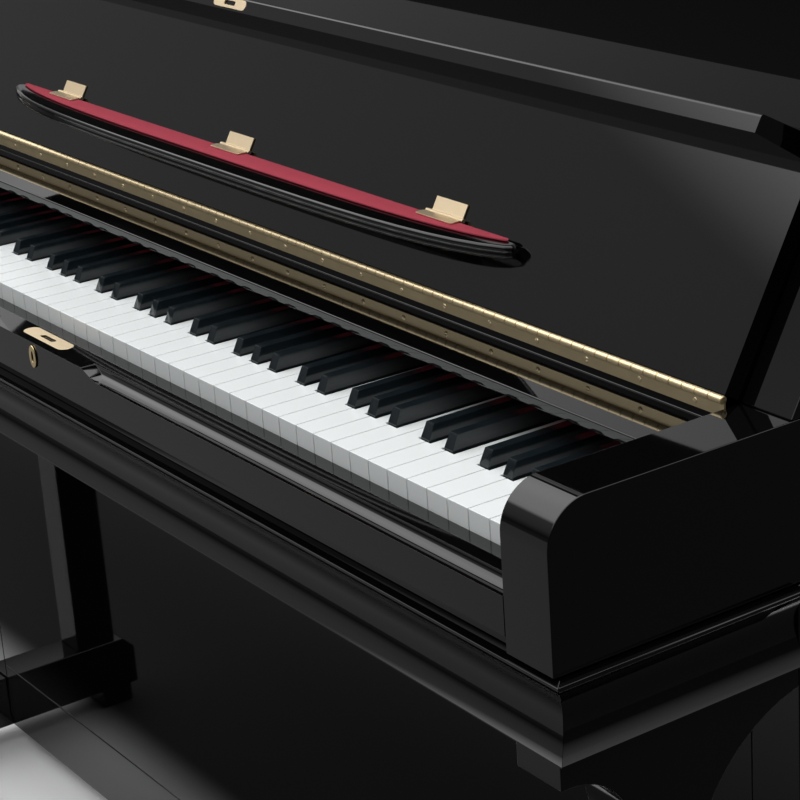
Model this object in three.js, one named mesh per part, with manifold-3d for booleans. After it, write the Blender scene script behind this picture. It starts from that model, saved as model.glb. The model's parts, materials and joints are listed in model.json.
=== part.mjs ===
// Upright piano, in millimetres, +Z up, the player's side towards -Y and the treble end towards +X.
// Sizes are given from the keyboard: y = 0 at the front of the white keys and z = 0 on their tops.
// The last lines move the whole group so that its origin is the middle of its footprint on the floor.
import * as THREE from 'three';
import { mergeVertices } from 'three/addons/utils/BufferGeometryUtils.js';
import Module from 'manifold-3d';

const wasm = await Module();
wasm.setup();

// ---- Driving dimensions -------------------------------------------------------------------------
const GAP = 0.3; // clearance between pieces that rest on or in each other
const KEY_HEIGHT = 735; // floor to the tops of the white keys
const OVERALL_HEIGHT = 1300;
const BACK_Y = 560; // rear edge of the side panels
const CASE_INNER = 655; // inner face of the arms and side panels, from the middle
const SIDE_THICK = 48;
const CASE_OUTER = CASE_INNER + SIDE_THICK;
const PANEL_WIDE = CASE_INNER - GAP; // half width of whatever fits between the sides

// keyboard
const OCTAVE = 165;
const WHITE_COUNT = 52;
const WHITE_PITCH = OCTAVE / 7;
const KEY_GAP = 1; // between two white keys
const TAIL_GAP = 0.7; // either side of a key's narrow tail
const HEAD_LENGTH = 50; // white key in front of the black keys
const WHITE_THICK = 20;
const SHARP_WIDE = 10.6;
const SHARP_RISE = 12;
const SHARP_SLOPE = 5; // how far a black key's front leans back
const SHARP_END = 145; // rear end of the raised part of a black key
const LEVER_END = 375; // rear end of a black key's lever
const WHITE_LEVER_END = 392;
const BANK_BAR = 10; // strip that ties the fixed keys of one bank together
const SHARP_BAR_DROP = 6;
const BALANCE_Y = 228; // where the keys rock
const KEY_DIP = 10;
const MOVING_FIRST = 23; // white key number of middle C, from the bass end
const MOVING_COUNT = 7;

// arms, key blocks and slip
const ARM_FRONT = -40;
const ARM_TOP = 55;
const ARM_ROUND = 32;
const ARM_END = 200;
const CHEEK_FOOT = 160; // where the side panels rise from the arms' tops
const SHADOW_GAP = 2; // dark line under the arms and the slip
const SHADOW_INSET = 6;
const BED_TOP = -61.5;
const ARM_BOTTOM = BED_TOP + SHADOW_GAP;
const BLOCK_TOP = 14;
const BLOCK_CLEAR = 1.2; // between the last key and its block
const SLIP_REAR = -4;
const SLIP_BOTTOM = -48;
const SLIP_RECESS = 10; // how far the slip's foot stands back from its front
const SLIP_LEDGE = -12.6; // where the closed fallboard rests
const SLIP_LIP = -20; // top of the slip's front face, under the finger scoop
const SCOOP_REAR = -27;
const LOCK_BLOCK_HALF = 86; // half width of the full-height middle
const LOCK_BLOCK_SWEEP = 34; // length of the curve down to the scoop

// keybed and its cove moulding
const BED_BOTTOM = -117;
const BED_FRONT = -27;
const BED_INSET = 8; // keybed inside the arm's outer face, behind its moulding
const MOULD_OUT = 8; // moulding beyond the arm's outer face
const MOULD_FRONT = -43;
const COVE_DEPTH = 11;
const COVE_LIP = 2.5;
const COVE_FOOT = 1;
const BED_REAR = 430;
const LOWER_FRONT = 165; // front of the side panels under the keybed

// legs and toes
const LEG_THICK = 46;
const LEG_FRONT = 18;
const LEG_DEEP = 50;
const LEG_BLOCK = 22; // square block at the leg's top
const LEG_BLOCK_FRONT = -38;
const LEG_ARCH = 50;
const LEG_BRACKET = 122; // radius of the rear bracket
const LEG_BRACKET_DROP = 16; // depth left over the bracket's curve
const TOE_THICK = 50;
const TOE_FRONT = -7;
const TOE_TOP = -650;
const TOE_CHAMFER = 15;
const FOOT_RISE = 22; // height of the pads under the toes
const FOOT_LONG = 40;
const TOE_REAR = 545;
const SIDE_BOTTOM = -700;

// panels
const PANEL_THICK = 20;
const RAIL_TOP = -632; // joint between lower panel and bottom rail
const RAIL_BOTTOM = -712;
const BOTTOM_BOARD = 12;
const UPPER_LEAN = Math.tan((8 * Math.PI) / 180);
const UPPER_PANEL_Y = 252; // front of the upper panel at UPPER_PANEL_Z
const UPPER_PANEL_Z = 206;
const UPPER_PANEL_FOOT = 66;
const SIDE_PROUD = 5; // side panel in front of the upper panel
const LID_THICK = 22;
const LID_OVERHANG = 12;
const LID_FRONT = 270;
const LID_HINGE_Y = 540;
const LID_ROUND = 8;
const LID_REAR = 570;
const LID_TOP = OVERALL_HEIGHT - KEY_HEIGHT;
const LID_UNDER = LID_TOP - LID_THICK;

// fallboard
const HINGE_Y = 147;
const HINGE_Z = 60;
const HINGE_R = 3;
const LEAN = (30 * Math.PI) / 180; // how far the open fallboard leans back
const FALL_CLEAR = 1.5;
const FALL_FACE = 1; // inner face, in front of the hinge line
const FALL_THICK = 18;
const FALL_FOOT = 3.5;
const NOSE_BASE = 163; // along the board, from the hinge
const NOSE_INNER = 165;
const NOSE_LENGTH = 178;
const NOSE_DEEP = 60;
const NOSE_ROUND = 14;
const TIP_ROUND = 2.5;

// name rail
const RAIL_LEDGE_FRONT = 92.5;
const RAIL_LEDGE_TOP = 41.5;
const RAIL_LEDGE_THICK = 8;
const LEAF_THICK = 1.7;
const LEAF_FOOT = 48;
const RAIL_UPRIGHT_TOP = 50;
const RAIL_UPRIGHT_REAR = 158;
const FELT_FOOT = 1.5;
const FELT_FRONT = 146; // name felt, just behind the black keys' playing tops

// music shelf
const SHELF_ALONG = 58.8; // its hinge line along the fallboard
const SHELF_STAND = 4; // its hinge line in front of the fallboard's hinge line
const SHELF_DEEP = 45;
const SHELF_HALF = 405;
const SHELF_THICK = 11;
const SHELF_FELT_DEEP = 26;
const SHELF_FELT_INSET = 8;
const SHELF_TIP = 12; // depth left at the shelf's ends
const SHELF_HINGE_X = 312;
const SHELF_LEAF_WIDE = 48;
const SHELF_LEAF_TALL = 13;
const SHELF_LEAF_DEEP = 9;
const SHELF_PIN = 1.8;

// locks
const ESCUTCHEON_Z = -25;
const ESCUTCHEON_HIGH = 10;
const ESCUTCHEON_WIDE = 6;
const LOCK_PLATE_HALF = 38;
const LOCK_PLATE_DEEP = 15;
const STRIKE_HALF = 26;
const STRIKE_DEEP = 9;
const PLATE_THICK = 1.2;

// pedals
const PEDAL_SPACING = 62;
const PEDAL_TIP = 75;
const PEDAL_PIVOT = 330;
const PEDAL_TOP = -680;
const PEDAL_THICK = 9;
const PEDAL_HALF = 14;
const PEDAL_NECK = 8;
const PEDAL_SLOT_HALF = 20;
const PEDAL_SLOT_TOP = -668;
const PEDAL_SLOT_FLOOR = -706;
const PEDAL_SLOT_REAR = 216;

// inside
const PLATE_FRONT = 446;
const PLATE_THICK_IRON = 14;
const PLATE_BARS = 9;
const PLATE_BAR_WIDE = 22;
const BOARD_FRONT = 482;
const BOARD_THICK = 9;
const POST_FRONT = 495;
const POST_DEEP = 61;
const POST_WIDE = 62;
const POST_COUNT = 5;
const STRING_Y = 438;
const STRING_COUNT = 44;
const STRING_THICK = 1.6;
const HAMMER_COUNT = 88;
const ACTION_Y = 330;
const ACTION_Z = 120;

// ---- Finishes -----------------------------------------------------------------------------------
const finish = (color, roughness, metalness = 0) => ({ color, roughness, metalness });
const EBONY = finish(0x060607, 0.08);
const IVORY = finish(0xf2f3f1, 0.18);
const SHARP_BLACK = finish(0x0b1012, 0.3);
const BRASS = finish(0xc79a4b, 0.2, 1);
const RED_FELT = finish(0x9e2437, 0.95);
const SPRUCE = finish(0xc9a368, 0.6);
const GOLD_IRON = finish(0xb08a3e, 0.45, 0.6);
const STEEL = finish(0xb9bcc0, 0.3, 1);

// ---- Making solids ------------------------------------------------------------------------------
const piano = new THREE.Group();

/** Adds one named sub-part to a group. */
function add(parent, name, geometry, look) {
  const mesh = new THREE.Mesh(geometry, new THREE.MeshStandardMaterial(look));
  mesh.name = name;
  parent.add(mesh);
  return mesh;
}

/** A block between two corners. */
function block(x0, x1, y0, y1, z0, z1) {
  const box = new THREE.BoxGeometry(x1 - x0, y1 - y0, z1 - z0);
  return box.translate((x0 + x1) / 2, (y0 + y1) / 2, (z0 + z1) / 2);
}

/** An outline from points, each [across, up]. */
function outline(points) {
  return new THREE.Shape(points.map(([a, b]) => new THREE.Vector2(a, b)));
}

const AXES = {
  x: [new THREE.Vector3(0, 1, 0), new THREE.Vector3(0, 0, 1), new THREE.Vector3(1, 0, 0)],
  y: [new THREE.Vector3(1, 0, 0), new THREE.Vector3(0, 0, 1), new THREE.Vector3(0, -1, 0)],
  z: [new THREE.Vector3(1, 0, 0), new THREE.Vector3(0, 1, 0), new THREE.Vector3(0, 0, 1)],
};

/** A straight prism: the outline is (y, z) along x, (x, z) along y or (x, y) along z. */
function prism(shape, axis, from, to, curveSegments = 8) {
  const solid = new THREE.ExtrudeGeometry(shape, { depth: to - from, bevelEnabled: false, curveSegments });
  solid.applyMatrix4(new THREE.Matrix4().makeBasis(...AXES[axis]));
  const start = { x: [from, 0, 0], y: [0, to, 0], z: [0, 0, from] }[axis];
  return solid.translate(...start);
}

/** Turns a closed geometry into a solid that can be cut and joined. */
function toSolid(geometry) {
  const bare = geometry.clone();
  bare.deleteAttribute('normal');
  bare.deleteAttribute('uv');
  const merged = mergeVertices(bare, 1e-4);
  const mesh = new wasm.Mesh({
    numProp: 3,
    vertProperties: new Float32Array(merged.attributes.position.array),
    triVerts: new Uint32Array(merged.index.array),
  });
  return new wasm.Manifold(mesh);
}

/** Turns a solid back into a geometry. */
function toGeometry(solid) {
  const { vertProperties, triVerts } = solid.getMesh();
  const geometry = new THREE.BufferGeometry();
  geometry.setAttribute('position', new THREE.BufferAttribute(new Float32Array(vertProperties), 3));
  geometry.setIndex(new THREE.BufferAttribute(new Uint32Array(triVerts), 1));
  geometry.computeVertexNormals();
  return geometry;
}

/** Joins geometries into one solid. */
function join(geometries) {
  return geometries.map(toSolid).reduce((whole, piece) => whole.add(piece));
}

/** Cuts geometries out of a solid. */
function cut(solid, geometries) {
  return geometries.reduce((rest, piece) => rest.subtract(toSolid(piece)), solid);
}

/** Calls make(name, side) for the bass end (-1) and the treble end (+1). */
function bothEnds(make) {
  make('bass', -1);
  make('treble', 1);
}

/** A block whose x range is mirrored for the bass end. */
function sideBlock(side, x0, x1, ...rest) {
  return side > 0 ? block(x0, x1, ...rest) : block(-x1, -x0, ...rest);
}

/** A prism along x whose range is mirrored for the bass end. */
function sidePrism(shape, side, x0, x1, curveSegments) {
  return side > 0 ? prism(shape, 'x', x0, x1, curveSegments) : prism(shape, 'x', -x1, -x0, curveSegments);
}

// ---- Case sides, arms and key blocks ------------------------------------------------------------
const upperPanelFront = (z) => UPPER_PANEL_Y + UPPER_LEAN * (z - UPPER_PANEL_Z);
const ARM_REAR = ARM_END + GAP;

function sideOutline() {
  const top = LID_UNDER - GAP;
  const edgeTop = upperPanelFront(top) - SIDE_PROUD;
  const sweep = Math.tan(LEAN);
  const start = ARM_TOP + GAP;
  const meet =
    (upperPanelFront(0) - SIDE_PROUD - CHEEK_FOOT + sweep * start) / (sweep - UPPER_LEAN);
  return outline([
    [LOWER_FRONT, SIDE_BOTTOM],
    [BACK_Y, SIDE_BOTTOM],
    [BACK_Y, top],
    [edgeTop, top],
    [upperPanelFront(meet) - SIDE_PROUD, meet],
    [CHEEK_FOOT, start],
    [ARM_REAR, start],
    [ARM_REAR, BED_TOP],
    [LOWER_FRONT, BED_TOP],
  ]);
}

function armOutline() {
  const shape = new THREE.Shape();
  shape.moveTo(ARM_FRONT, ARM_BOTTOM);
  shape.lineTo(ARM_FRONT, ARM_TOP - ARM_ROUND);
  shape.absarc(ARM_FRONT + ARM_ROUND, ARM_TOP - ARM_ROUND, ARM_ROUND, Math.PI, Math.PI / 2, true);
  shape.lineTo(ARM_END, ARM_TOP);
  shape.lineTo(ARM_END, ARM_BOTTOM);
  return shape;
}

function keyBlockOutline() {
  const shape = new THREE.Shape();
  const front = SLIP_REAR + 2;
  shape.moveTo(front, BED_TOP + GAP);
  shape.lineTo(front, 0);
  shape.absarc(front + BLOCK_TOP, 0, BLOCK_TOP, Math.PI, Math.PI / 2, true);
  shape.lineTo(HINGE_Y - 1, BLOCK_TOP);
  shape.lineTo(HINGE_Y - 1, BED_TOP + GAP);
  return shape;
}

const KEYS_HALF = (WHITE_COUNT * WHITE_PITCH) / 2;

bothEnds((end, side) => {
  add(piano, `side_panel_${end}`, sidePrism(sideOutline(), side, CASE_INNER, CASE_OUTER), EBONY);
  const inset = SHADOW_INSET;
  const foot = sideBlock(
    side, CASE_INNER + inset, CASE_OUTER - inset,
    ARM_FRONT + inset, ARM_END, BED_TOP + GAP, ARM_BOTTOM + 1,
  );
  const arm = join([sidePrism(armOutline(), side, CASE_INNER, CASE_OUTER, 12), foot]);
  add(piano, `arm_${end}`, toGeometry(arm), EBONY);
  const blockIn = KEYS_HALF + BLOCK_CLEAR;
  add(piano, `key_block_${end}`, sidePrism(keyBlockOutline(), side, blockIn, PANEL_WIDE, 6), EBONY);
});

// ---- Key slip with its finger scoop and lock ----------------------------------------------------
function slipOutline() {
  const shape = new THREE.Shape();
  shape.moveTo(ARM_FRONT, SLIP_BOTTOM);
  shape.lineTo(ARM_FRONT, SLIP_LIP);
  shape.quadraticCurveTo(SCOOP_REAR, SLIP_LIP, SCOOP_REAR, SLIP_LEDGE);
  shape.lineTo(SLIP_REAR, SLIP_LEDGE);
  shape.lineTo(SLIP_REAR, SLIP_BOTTOM);
  shape.lineTo(SLIP_REAR - SHADOW_INSET, SLIP_BOTTOM);
  shape.lineTo(SLIP_REAR - SHADOW_INSET, BED_TOP + GAP);
  shape.lineTo(ARM_FRONT + SLIP_RECESS, BED_TOP + GAP);
  shape.lineTo(ARM_FRONT + SLIP_RECESS, SLIP_BOTTOM);
  return shape;
}

function lockBlockOutline() {
  const shape = new THREE.Shape();
  const half = LOCK_BLOCK_HALF;
  const far = half + LOCK_BLOCK_SWEEP;
  const mid = LOCK_BLOCK_SWEEP / 2;
  const foot = SLIP_LIP - 10;
  shape.moveTo(-far, foot);
  shape.lineTo(-far, SLIP_LIP);
  shape.bezierCurveTo(-far + mid, SLIP_LIP, -half - mid / 2, SLIP_LEDGE, -half, SLIP_LEDGE);
  shape.lineTo(half, SLIP_LEDGE);
  shape.bezierCurveTo(half + mid / 2, SLIP_LEDGE, far - mid, SLIP_LIP, far, SLIP_LIP);
  shape.lineTo(far, foot);
  return shape;
}

const platePocket = PLATE_THICK + GAP;
const LOCK_PLATE_Y = HINGE_Y - (NOSE_INNER + NOSE_LENGTH) / 2; // under the closed nose

/** A plate with rounded ends and a slot, lying in the x-y plane. */
function slottedPlate(half, deep, slotHalf, slotDeep) {
  const shape = roundedBar(half, deep);
  shape.holes.push(roundedBar(slotHalf, slotDeep));
  return shape;
}

/** A bar with half-round ends, centred on the origin. */
function roundedBar(half, deep) {
  const r = deep / 2;
  const shape = new THREE.Shape();
  shape.absarc(half - r, 0, r, -Math.PI / 2, Math.PI / 2, false);
  shape.absarc(-half + r, 0, r, Math.PI / 2, (3 * Math.PI) / 2, false);
  return shape;
}

const slipPocket = prism(
  roundedBar(LOCK_PLATE_HALF + GAP, LOCK_PLATE_DEEP + 2 * GAP), 'z',
  SLIP_LEDGE - platePocket, SLIP_LEDGE + 5,
).translate(0, LOCK_PLATE_Y, 0);
const slip = cut(
  join([
    prism(slipOutline(), 'x', -PANEL_WIDE, PANEL_WIDE, 6),
    prism(lockBlockOutline(), 'y', ARM_FRONT, SCOOP_REAR + 1, 8),
  ]),
  [slipPocket],
);
add(piano, 'key_slip', toGeometry(slip), EBONY);

const lockPlate = prism(
  slottedPlate(LOCK_PLATE_HALF, LOCK_PLATE_DEEP, 12, 5), 'z',
  SLIP_LEDGE - PLATE_THICK, SLIP_LEDGE - 0.05, 6,
).translate(0, LOCK_PLATE_Y, 0);
add(piano, 'lock_plate', lockPlate, BRASS);

function escutcheonOutline() {
  const shape = new THREE.Shape();
  shape.absellipse(0, 0, ESCUTCHEON_WIDE, ESCUTCHEON_HIGH, 0, 2 * Math.PI, false, 0);
  const slot = new THREE.Path();
  slot.absellipse(0, 0, ESCUTCHEON_WIDE / 3, ESCUTCHEON_HIGH / 2, 0, 2 * Math.PI, true, 0);
  shape.holes.push(slot);
  return shape;
}

const escutcheonRear = ARM_FRONT - GAP;
add(
  piano, 'lock_escutcheon',
  prism(escutcheonOutline(), 'y', escutcheonRear - PLATE_THICK, escutcheonRear, 10)
    .translate(0, 0, ESCUTCHEON_Z),
  BRASS,
);

// ---- Keybed and its cove moulding ---------------------------------------------------------------
const BED_WIDE = CASE_OUTER - BED_INSET;
const bedRearStart = LOWER_FRONT - GAP;
add(
  piano, 'keybed',
  prism(
    outline([
      [-BED_WIDE, BED_FRONT], [BED_WIDE, BED_FRONT],
      [BED_WIDE, bedRearStart], [PANEL_WIDE, bedRearStart],
      [PANEL_WIDE, BED_REAR], [-PANEL_WIDE, BED_REAR],
      [-PANEL_WIDE, bedRearStart], [-BED_WIDE, bedRearStart],
    ]),
    'z', BED_BOTTOM, BED_TOP,
  ),
  EBONY,
);

/** Section of the moulding: flat at the back, a round hollow in front; "out" is the way it faces. */
function coveOutline(back, front, out) {
  const shape = new THREE.Shape();
  const high = BED_TOP - COVE_LIP;
  const low = BED_BOTTOM + COVE_FOOT;
  const half = (high - low) / 2;
  const radius = (half * half + COVE_DEPTH * COVE_DEPTH) / (2 * COVE_DEPTH);
  const middle = front + out * (radius - COVE_DEPTH);
  const swing = Math.asin(half / radius);
  const steps = 12;
  shape.moveTo(back, BED_BOTTOM);
  shape.lineTo(back, BED_TOP);
  shape.lineTo(front, BED_TOP);
  for (let i = 0; i <= steps; i += 1) {
    const turn = swing - (2 * swing * i) / steps;
    shape.lineTo(middle - out * radius * Math.cos(turn), (high + low) / 2 + radius * Math.sin(turn));
  }
  shape.lineTo(front, BED_BOTTOM);
  return shape;
}

const MOULD_WIDE = CASE_OUTER + MOULD_OUT;
const mouldBack = BED_FRONT - GAP;
const mitre = mouldBack - MOULD_FRONT;
const frontMould = toSolid(prism(coveOutline(mouldBack, MOULD_FRONT, -1), 'x', -MOULD_WIDE, MOULD_WIDE, 10));
const frontMitre = outline([
  [-MOULD_WIDE, MOULD_FRONT], [MOULD_WIDE, MOULD_FRONT],
  [MOULD_WIDE - mitre, mouldBack], [-MOULD_WIDE + mitre, mouldBack],
]);
add(
  piano, 'keybed_moulding_front',
  toGeometry(frontMould.intersect(toSolid(prism(frontMitre, 'z', BED_BOTTOM - 1, BED_TOP + 1)))), EBONY,
);

bothEnds((end, side) => {
  const inner = side * (BED_WIDE + GAP);
  const outer = side * MOULD_WIDE;
  const rear = bedRearStart;
  const start = MOULD_FRONT + GAP;
  const bar = prism(coveOutline(inner, outer, side), 'y', start, rear, 10);
  const keep = outline([
    [outer, start], [outer, rear], [inner, rear], [inner, start + Math.abs(outer - inner)],
  ]);
  const solid = toSolid(bar).intersect(toSolid(prism(keep, 'z', BED_BOTTOM - 1, BED_TOP + 1)));
  add(piano, `keybed_moulding_${end}`, toGeometry(solid), EBONY);
});

// ---- Legs, toes and their pads ------------------------------------------------------------------
const LEG_TOP = BED_BOTTOM - GAP;
const FLOOR = -KEY_HEIGHT;

function legOutline() {
  const shape = new THREE.Shape();
  const blockFoot = LEG_TOP - LEG_BLOCK;
  const rear = LEG_FRONT + LEG_DEEP;
  shape.moveTo(LEG_BLOCK_FRONT, LEG_TOP);
  shape.lineTo(LEG_BLOCK_FRONT, blockFoot);
  shape.lineTo(LEG_FRONT - LEG_ARCH, blockFoot);
  shape.absarc(LEG_FRONT - LEG_ARCH, blockFoot - LEG_ARCH, LEG_ARCH, Math.PI / 2, 0, true);
  shape.lineTo(LEG_FRONT, TOE_TOP + GAP);
  shape.lineTo(rear, TOE_TOP + GAP);
  const edge = LEG_TOP - LEG_BRACKET_DROP;
  const end = LOWER_FRONT - GAP;
  const turn = Math.acos((end - rear) / LEG_BRACKET - 1);
  shape.lineTo(rear, edge - LEG_BRACKET);
  shape.absarc(rear + LEG_BRACKET, edge - LEG_BRACKET, LEG_BRACKET, Math.PI, turn, true);
  shape.lineTo(end, LEG_TOP);
  return shape;
}

function toeOutline() {
  const under = FLOOR + FOOT_RISE;
  const padFront = TOE_FRONT + 10;
  const padRear = TOE_REAR - 8;
  return outline([
    [TOE_FRONT, under], [padFront, under], [padFront, FLOOR], [padFront + FOOT_LONG, FLOOR],
    [padFront + FOOT_LONG, under], [padRear - FOOT_LONG, under], [padRear - FOOT_LONG, FLOOR],
    [padRear, FLOOR], [padRear, under], [TOE_REAR, under], [TOE_REAR, SIDE_BOTTOM - GAP],
    [LOWER_FRONT - GAP, SIDE_BOTTOM - GAP], [LOWER_FRONT - GAP, TOE_TOP],
    [TOE_FRONT + TOE_CHAMFER, TOE_TOP], [TOE_FRONT, TOE_TOP - TOE_CHAMFER],
  ]);
}

bothEnds((end, side) => {
  const legIn = CASE_OUTER - LEG_THICK;
  add(piano, `leg_${end}`, sidePrism(legOutline(), side, legIn, CASE_OUTER, 8), EBONY);
  add(piano, `toe_${end}`, sidePrism(toeOutline(), side, CASE_INNER, CASE_INNER + TOE_THICK), EBONY);
});

// ---- Front panels, bottom and lid ---------------------------------------------------------------
add(
  piano, 'lower_panel',
  block(-PANEL_WIDE, PANEL_WIDE, LOWER_FRONT, LOWER_FRONT + PANEL_THICK, RAIL_TOP, BED_BOTTOM - GAP), EBONY,
);

const railRear = LOWER_FRONT + PANEL_THICK;
const pedalX = [-PEDAL_SPACING, 0, PEDAL_SPACING];
const bottomRail = cut(
  join([
    block(-PANEL_WIDE, PANEL_WIDE, LOWER_FRONT, railRear, RAIL_BOTTOM, RAIL_TOP - GAP),
    block(-PANEL_WIDE, PANEL_WIDE, railRear - 1, BOARD_FRONT - 2, RAIL_BOTTOM, RAIL_BOTTOM + BOTTOM_BOARD),
    ...pedalX.map((x) =>
      block(
        x - PEDAL_SLOT_HALF, x + PEDAL_SLOT_HALF, PEDAL_PIVOT - 10, PEDAL_PIVOT + 10,
        RAIL_BOTTOM + BOTTOM_BOARD - 1, PEDAL_TOP - PEDAL_THICK - 1,
      ),
    ),
  ]),
  pedalX.map((x) =>
    block(
      x - PEDAL_SLOT_HALF, x + PEDAL_SLOT_HALF, LOWER_FRONT - 1, PEDAL_SLOT_REAR,
      PEDAL_SLOT_FLOOR, PEDAL_SLOT_TOP,
    ),
  ),
);
add(piano, 'bottom_rail', toGeometry(bottomRail), EBONY);

const upperTop = LID_UNDER - 2 * GAP;
add(
  piano, 'upper_panel',
  prism(
    outline([
      [upperPanelFront(UPPER_PANEL_FOOT), UPPER_PANEL_FOOT],
      [upperPanelFront(UPPER_PANEL_FOOT) + PANEL_THICK, UPPER_PANEL_FOOT],
      [upperPanelFront(upperTop) + PANEL_THICK, upperTop],
      [upperPanelFront(upperTop), upperTop],
    ]),
    'x', -PANEL_WIDE, PANEL_WIDE,
  ),
  EBONY,
);

function lidOutline() {
  const shape = new THREE.Shape();
  const front = LID_FRONT;
  const r = LID_ROUND;
  shape.moveTo(LID_HINGE_Y - GAP, LID_UNDER);
  shape.lineTo(LID_HINGE_Y - GAP, LID_TOP);
  shape.lineTo(front + r, LID_TOP);
  shape.absarc(front + r, LID_TOP - r, r, Math.PI / 2, Math.PI, false);
  shape.lineTo(front, LID_UNDER + 2);
  shape.lineTo(front + 2, LID_UNDER);
  return shape;
}

const LID_HALF = CASE_OUTER + LID_OVERHANG;
add(piano, 'lid', prism(lidOutline(), 'x', -LID_HALF, LID_HALF, 6), EBONY);
add(piano, 'lid_rear_rail', block(-LID_HALF, LID_HALF, LID_HINGE_Y, LID_REAR, LID_UNDER, LID_TOP), EBONY);

// ---- Name rail, its felt and the long hinge -----------------------------------------------------
const LEAF_FRONT = HINGE_Y;
const railFace = LEAF_FRONT + LEAF_THICK + GAP;
const ledgeFoot = RAIL_LEDGE_TOP - RAIL_LEDGE_THICK;
const uprightFoot = BLOCK_TOP + 1;
add(
  piano, 'name_rail',
  prism(
    outline([
      [RAIL_LEDGE_FRONT, ledgeFoot], [railFace, ledgeFoot], [railFace, uprightFoot],
      [RAIL_UPRIGHT_REAR, uprightFoot], [RAIL_UPRIGHT_REAR, RAIL_UPRIGHT_TOP],
      [railFace, RAIL_UPRIGHT_TOP], [railFace, RAIL_LEDGE_TOP], [RAIL_LEDGE_FRONT, RAIL_LEDGE_TOP],
    ]),
    'x', -PANEL_WIDE, PANEL_WIDE,
  ),
  EBONY,
);
add(
  piano, 'name_felt',
  block(-KEYS_HALF, KEYS_HALF, FELT_FRONT, FELT_FRONT + LEAF_THICK, FELT_FOOT, ledgeFoot - GAP), RED_FELT,
);

const FALL_HALF = CASE_INNER - FALL_CLEAR;
const barrel = new THREE.CylinderGeometry(HINGE_R, HINGE_R, 2 * FALL_HALF, 12);
barrel.rotateZ(Math.PI / 2).translate(0, HINGE_Y, HINGE_Z);
const longHinge = join([
  barrel,
  block(-FALL_HALF, FALL_HALF, LEAF_FRONT, LEAF_FRONT + LEAF_THICK, LEAF_FOOT, HINGE_Z - 1),
]);
add(piano, 'fallboard_hinge', toGeometry(longHinge), BRASS);

// ---- Key frame and keyboard ---------------------------------------------------------------------
const KEY_UNDER = -WHITE_THICK;
const frameFoot = BED_TOP + GAP;
const frameHalf = KEYS_HALF - 1;
add(
  piano, 'key_frame',
  toGeometry(
    join([
      block(-frameHalf, frameHalf, 10, 40, frameFoot, KEY_UNDER - KEY_DIP - 4),
      block(-frameHalf, frameHalf, BALANCE_Y - 6, BALANCE_Y + 6, frameFoot, KEY_UNDER - GAP),
      block(-frameHalf, frameHalf, LEVER_END - 12, WHITE_LEVER_END, frameFoot, KEY_UNDER - GAP),
      block(-frameHalf, -frameHalf + 12, 20, LEVER_END, frameFoot, KEY_UNDER - KEY_DIP - 4),
      block(frameHalf - 12, frameHalf, 20, LEVER_END, frameFoot, KEY_UNDER - KEY_DIP - 4),
    ]),
  ),
  SPRUCE,
);

const LETTERS = ['c', 'd', 'e', 'f', 'g', 'a', 'b'];
const STEP_OF = { c: 0, d: 2, e: 4, f: 0, g: 2, a: 4, b: 6 }; // semitones from the start of its group
const GROUP_OF = { c: [0, 5], d: [0, 5], e: [0, 5], f: [3, 7], g: [3, 7], a: [3, 7], b: [3, 7] };
const LAST = WHITE_COUNT - 1;

/** Letter and octave of a white key, counted from the bass end. */
function nameOf(index) {
  const fromC = index + 5; // the lowest key is an A
  return { letter: LETTERS[fromC % 7], octave: Math.floor(fromC / 7) };
}

/** Left edge of semitone "step" in the group of keys that starts at white key "first". */
function semitoneX(first, letter, step) {
  const [groupStart, semitones] = GROUP_OF[letter];
  const whites = groupStart === 0 ? 3 : 4;
  return first + (whites * WHITE_PITCH * step) / semitones;
}

function groupFirstX(index, letter) {
  const within = LETTERS.indexOf(letter) - GROUP_OF[letter][0];
  return (index - within) * WHITE_PITCH - KEYS_HALF;
}

function whiteKey(index) {
  const { letter } = nameOf(index);
  const left = index * WHITE_PITCH - KEYS_HALF + KEY_GAP / 2;
  const right = left + WHITE_PITCH - KEY_GAP;
  const first = groupFirstX(index, letter);
  const step = STEP_OF[letter];
  const plainLeft = letter === 'c' || letter === 'f' || index === 0;
  const plainRight = letter === 'e' || letter === 'b' || index === LAST;
  const tailLeft = plainLeft ? left : semitoneX(first, letter, step) + TAIL_GAP;
  const tailRight = plainRight ? right : semitoneX(first, letter, step + 1) - TAIL_GAP;
  const points = [[left, 0], [right, 0]];
  if (!plainRight) points.push([right, HEAD_LENGTH]);
  points.push([tailRight, plainRight ? WHITE_LEVER_END : HEAD_LENGTH]);
  if (!plainRight) points.push([tailRight, WHITE_LEVER_END]);
  points.push([tailLeft, WHITE_LEVER_END]);
  if (!plainLeft) points.push([tailLeft, HEAD_LENGTH], [left, HEAD_LENGTH]);
  return prism(outline(points), 'z', KEY_UNDER, 0);
}

/** The black key just above a white one, or null where there is none. */
function blackKey(index, withDrop) {
  const { letter } = nameOf(index);
  if (letter === 'e' || letter === 'b' || index >= LAST) return null;
  const first = groupFirstX(index, letter);
  const step = STEP_OF[letter] + 1;
  const middle = (semitoneX(first, letter, step) + semitoneX(first, letter, step + 1)) / 2;
  const front = HEAD_LENGTH + KEY_GAP;
  const points = [[front, KEY_UNDER], [LEVER_END, KEY_UNDER], [LEVER_END, -2], [SHARP_END, -2]];
  points.push([SHARP_END, SHARP_RISE], [front + SHARP_SLOPE, SHARP_RISE], [front, 1]);
  const key = prism(outline(points), 'x', middle - SHARP_WIDE / 2, middle + SHARP_WIDE / 2);
  if (!withDrop) return key;
  const foot = LEVER_END - 30;
  const drop = block(
    middle - SHARP_WIDE / 2, middle + SHARP_WIDE / 2, foot - BANK_BAR, foot,
    KEY_UNDER - SHARP_BAR_DROP - 1, KEY_UNDER + 1,
  );
  return toGeometry(join([key, drop]));
}

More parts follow.
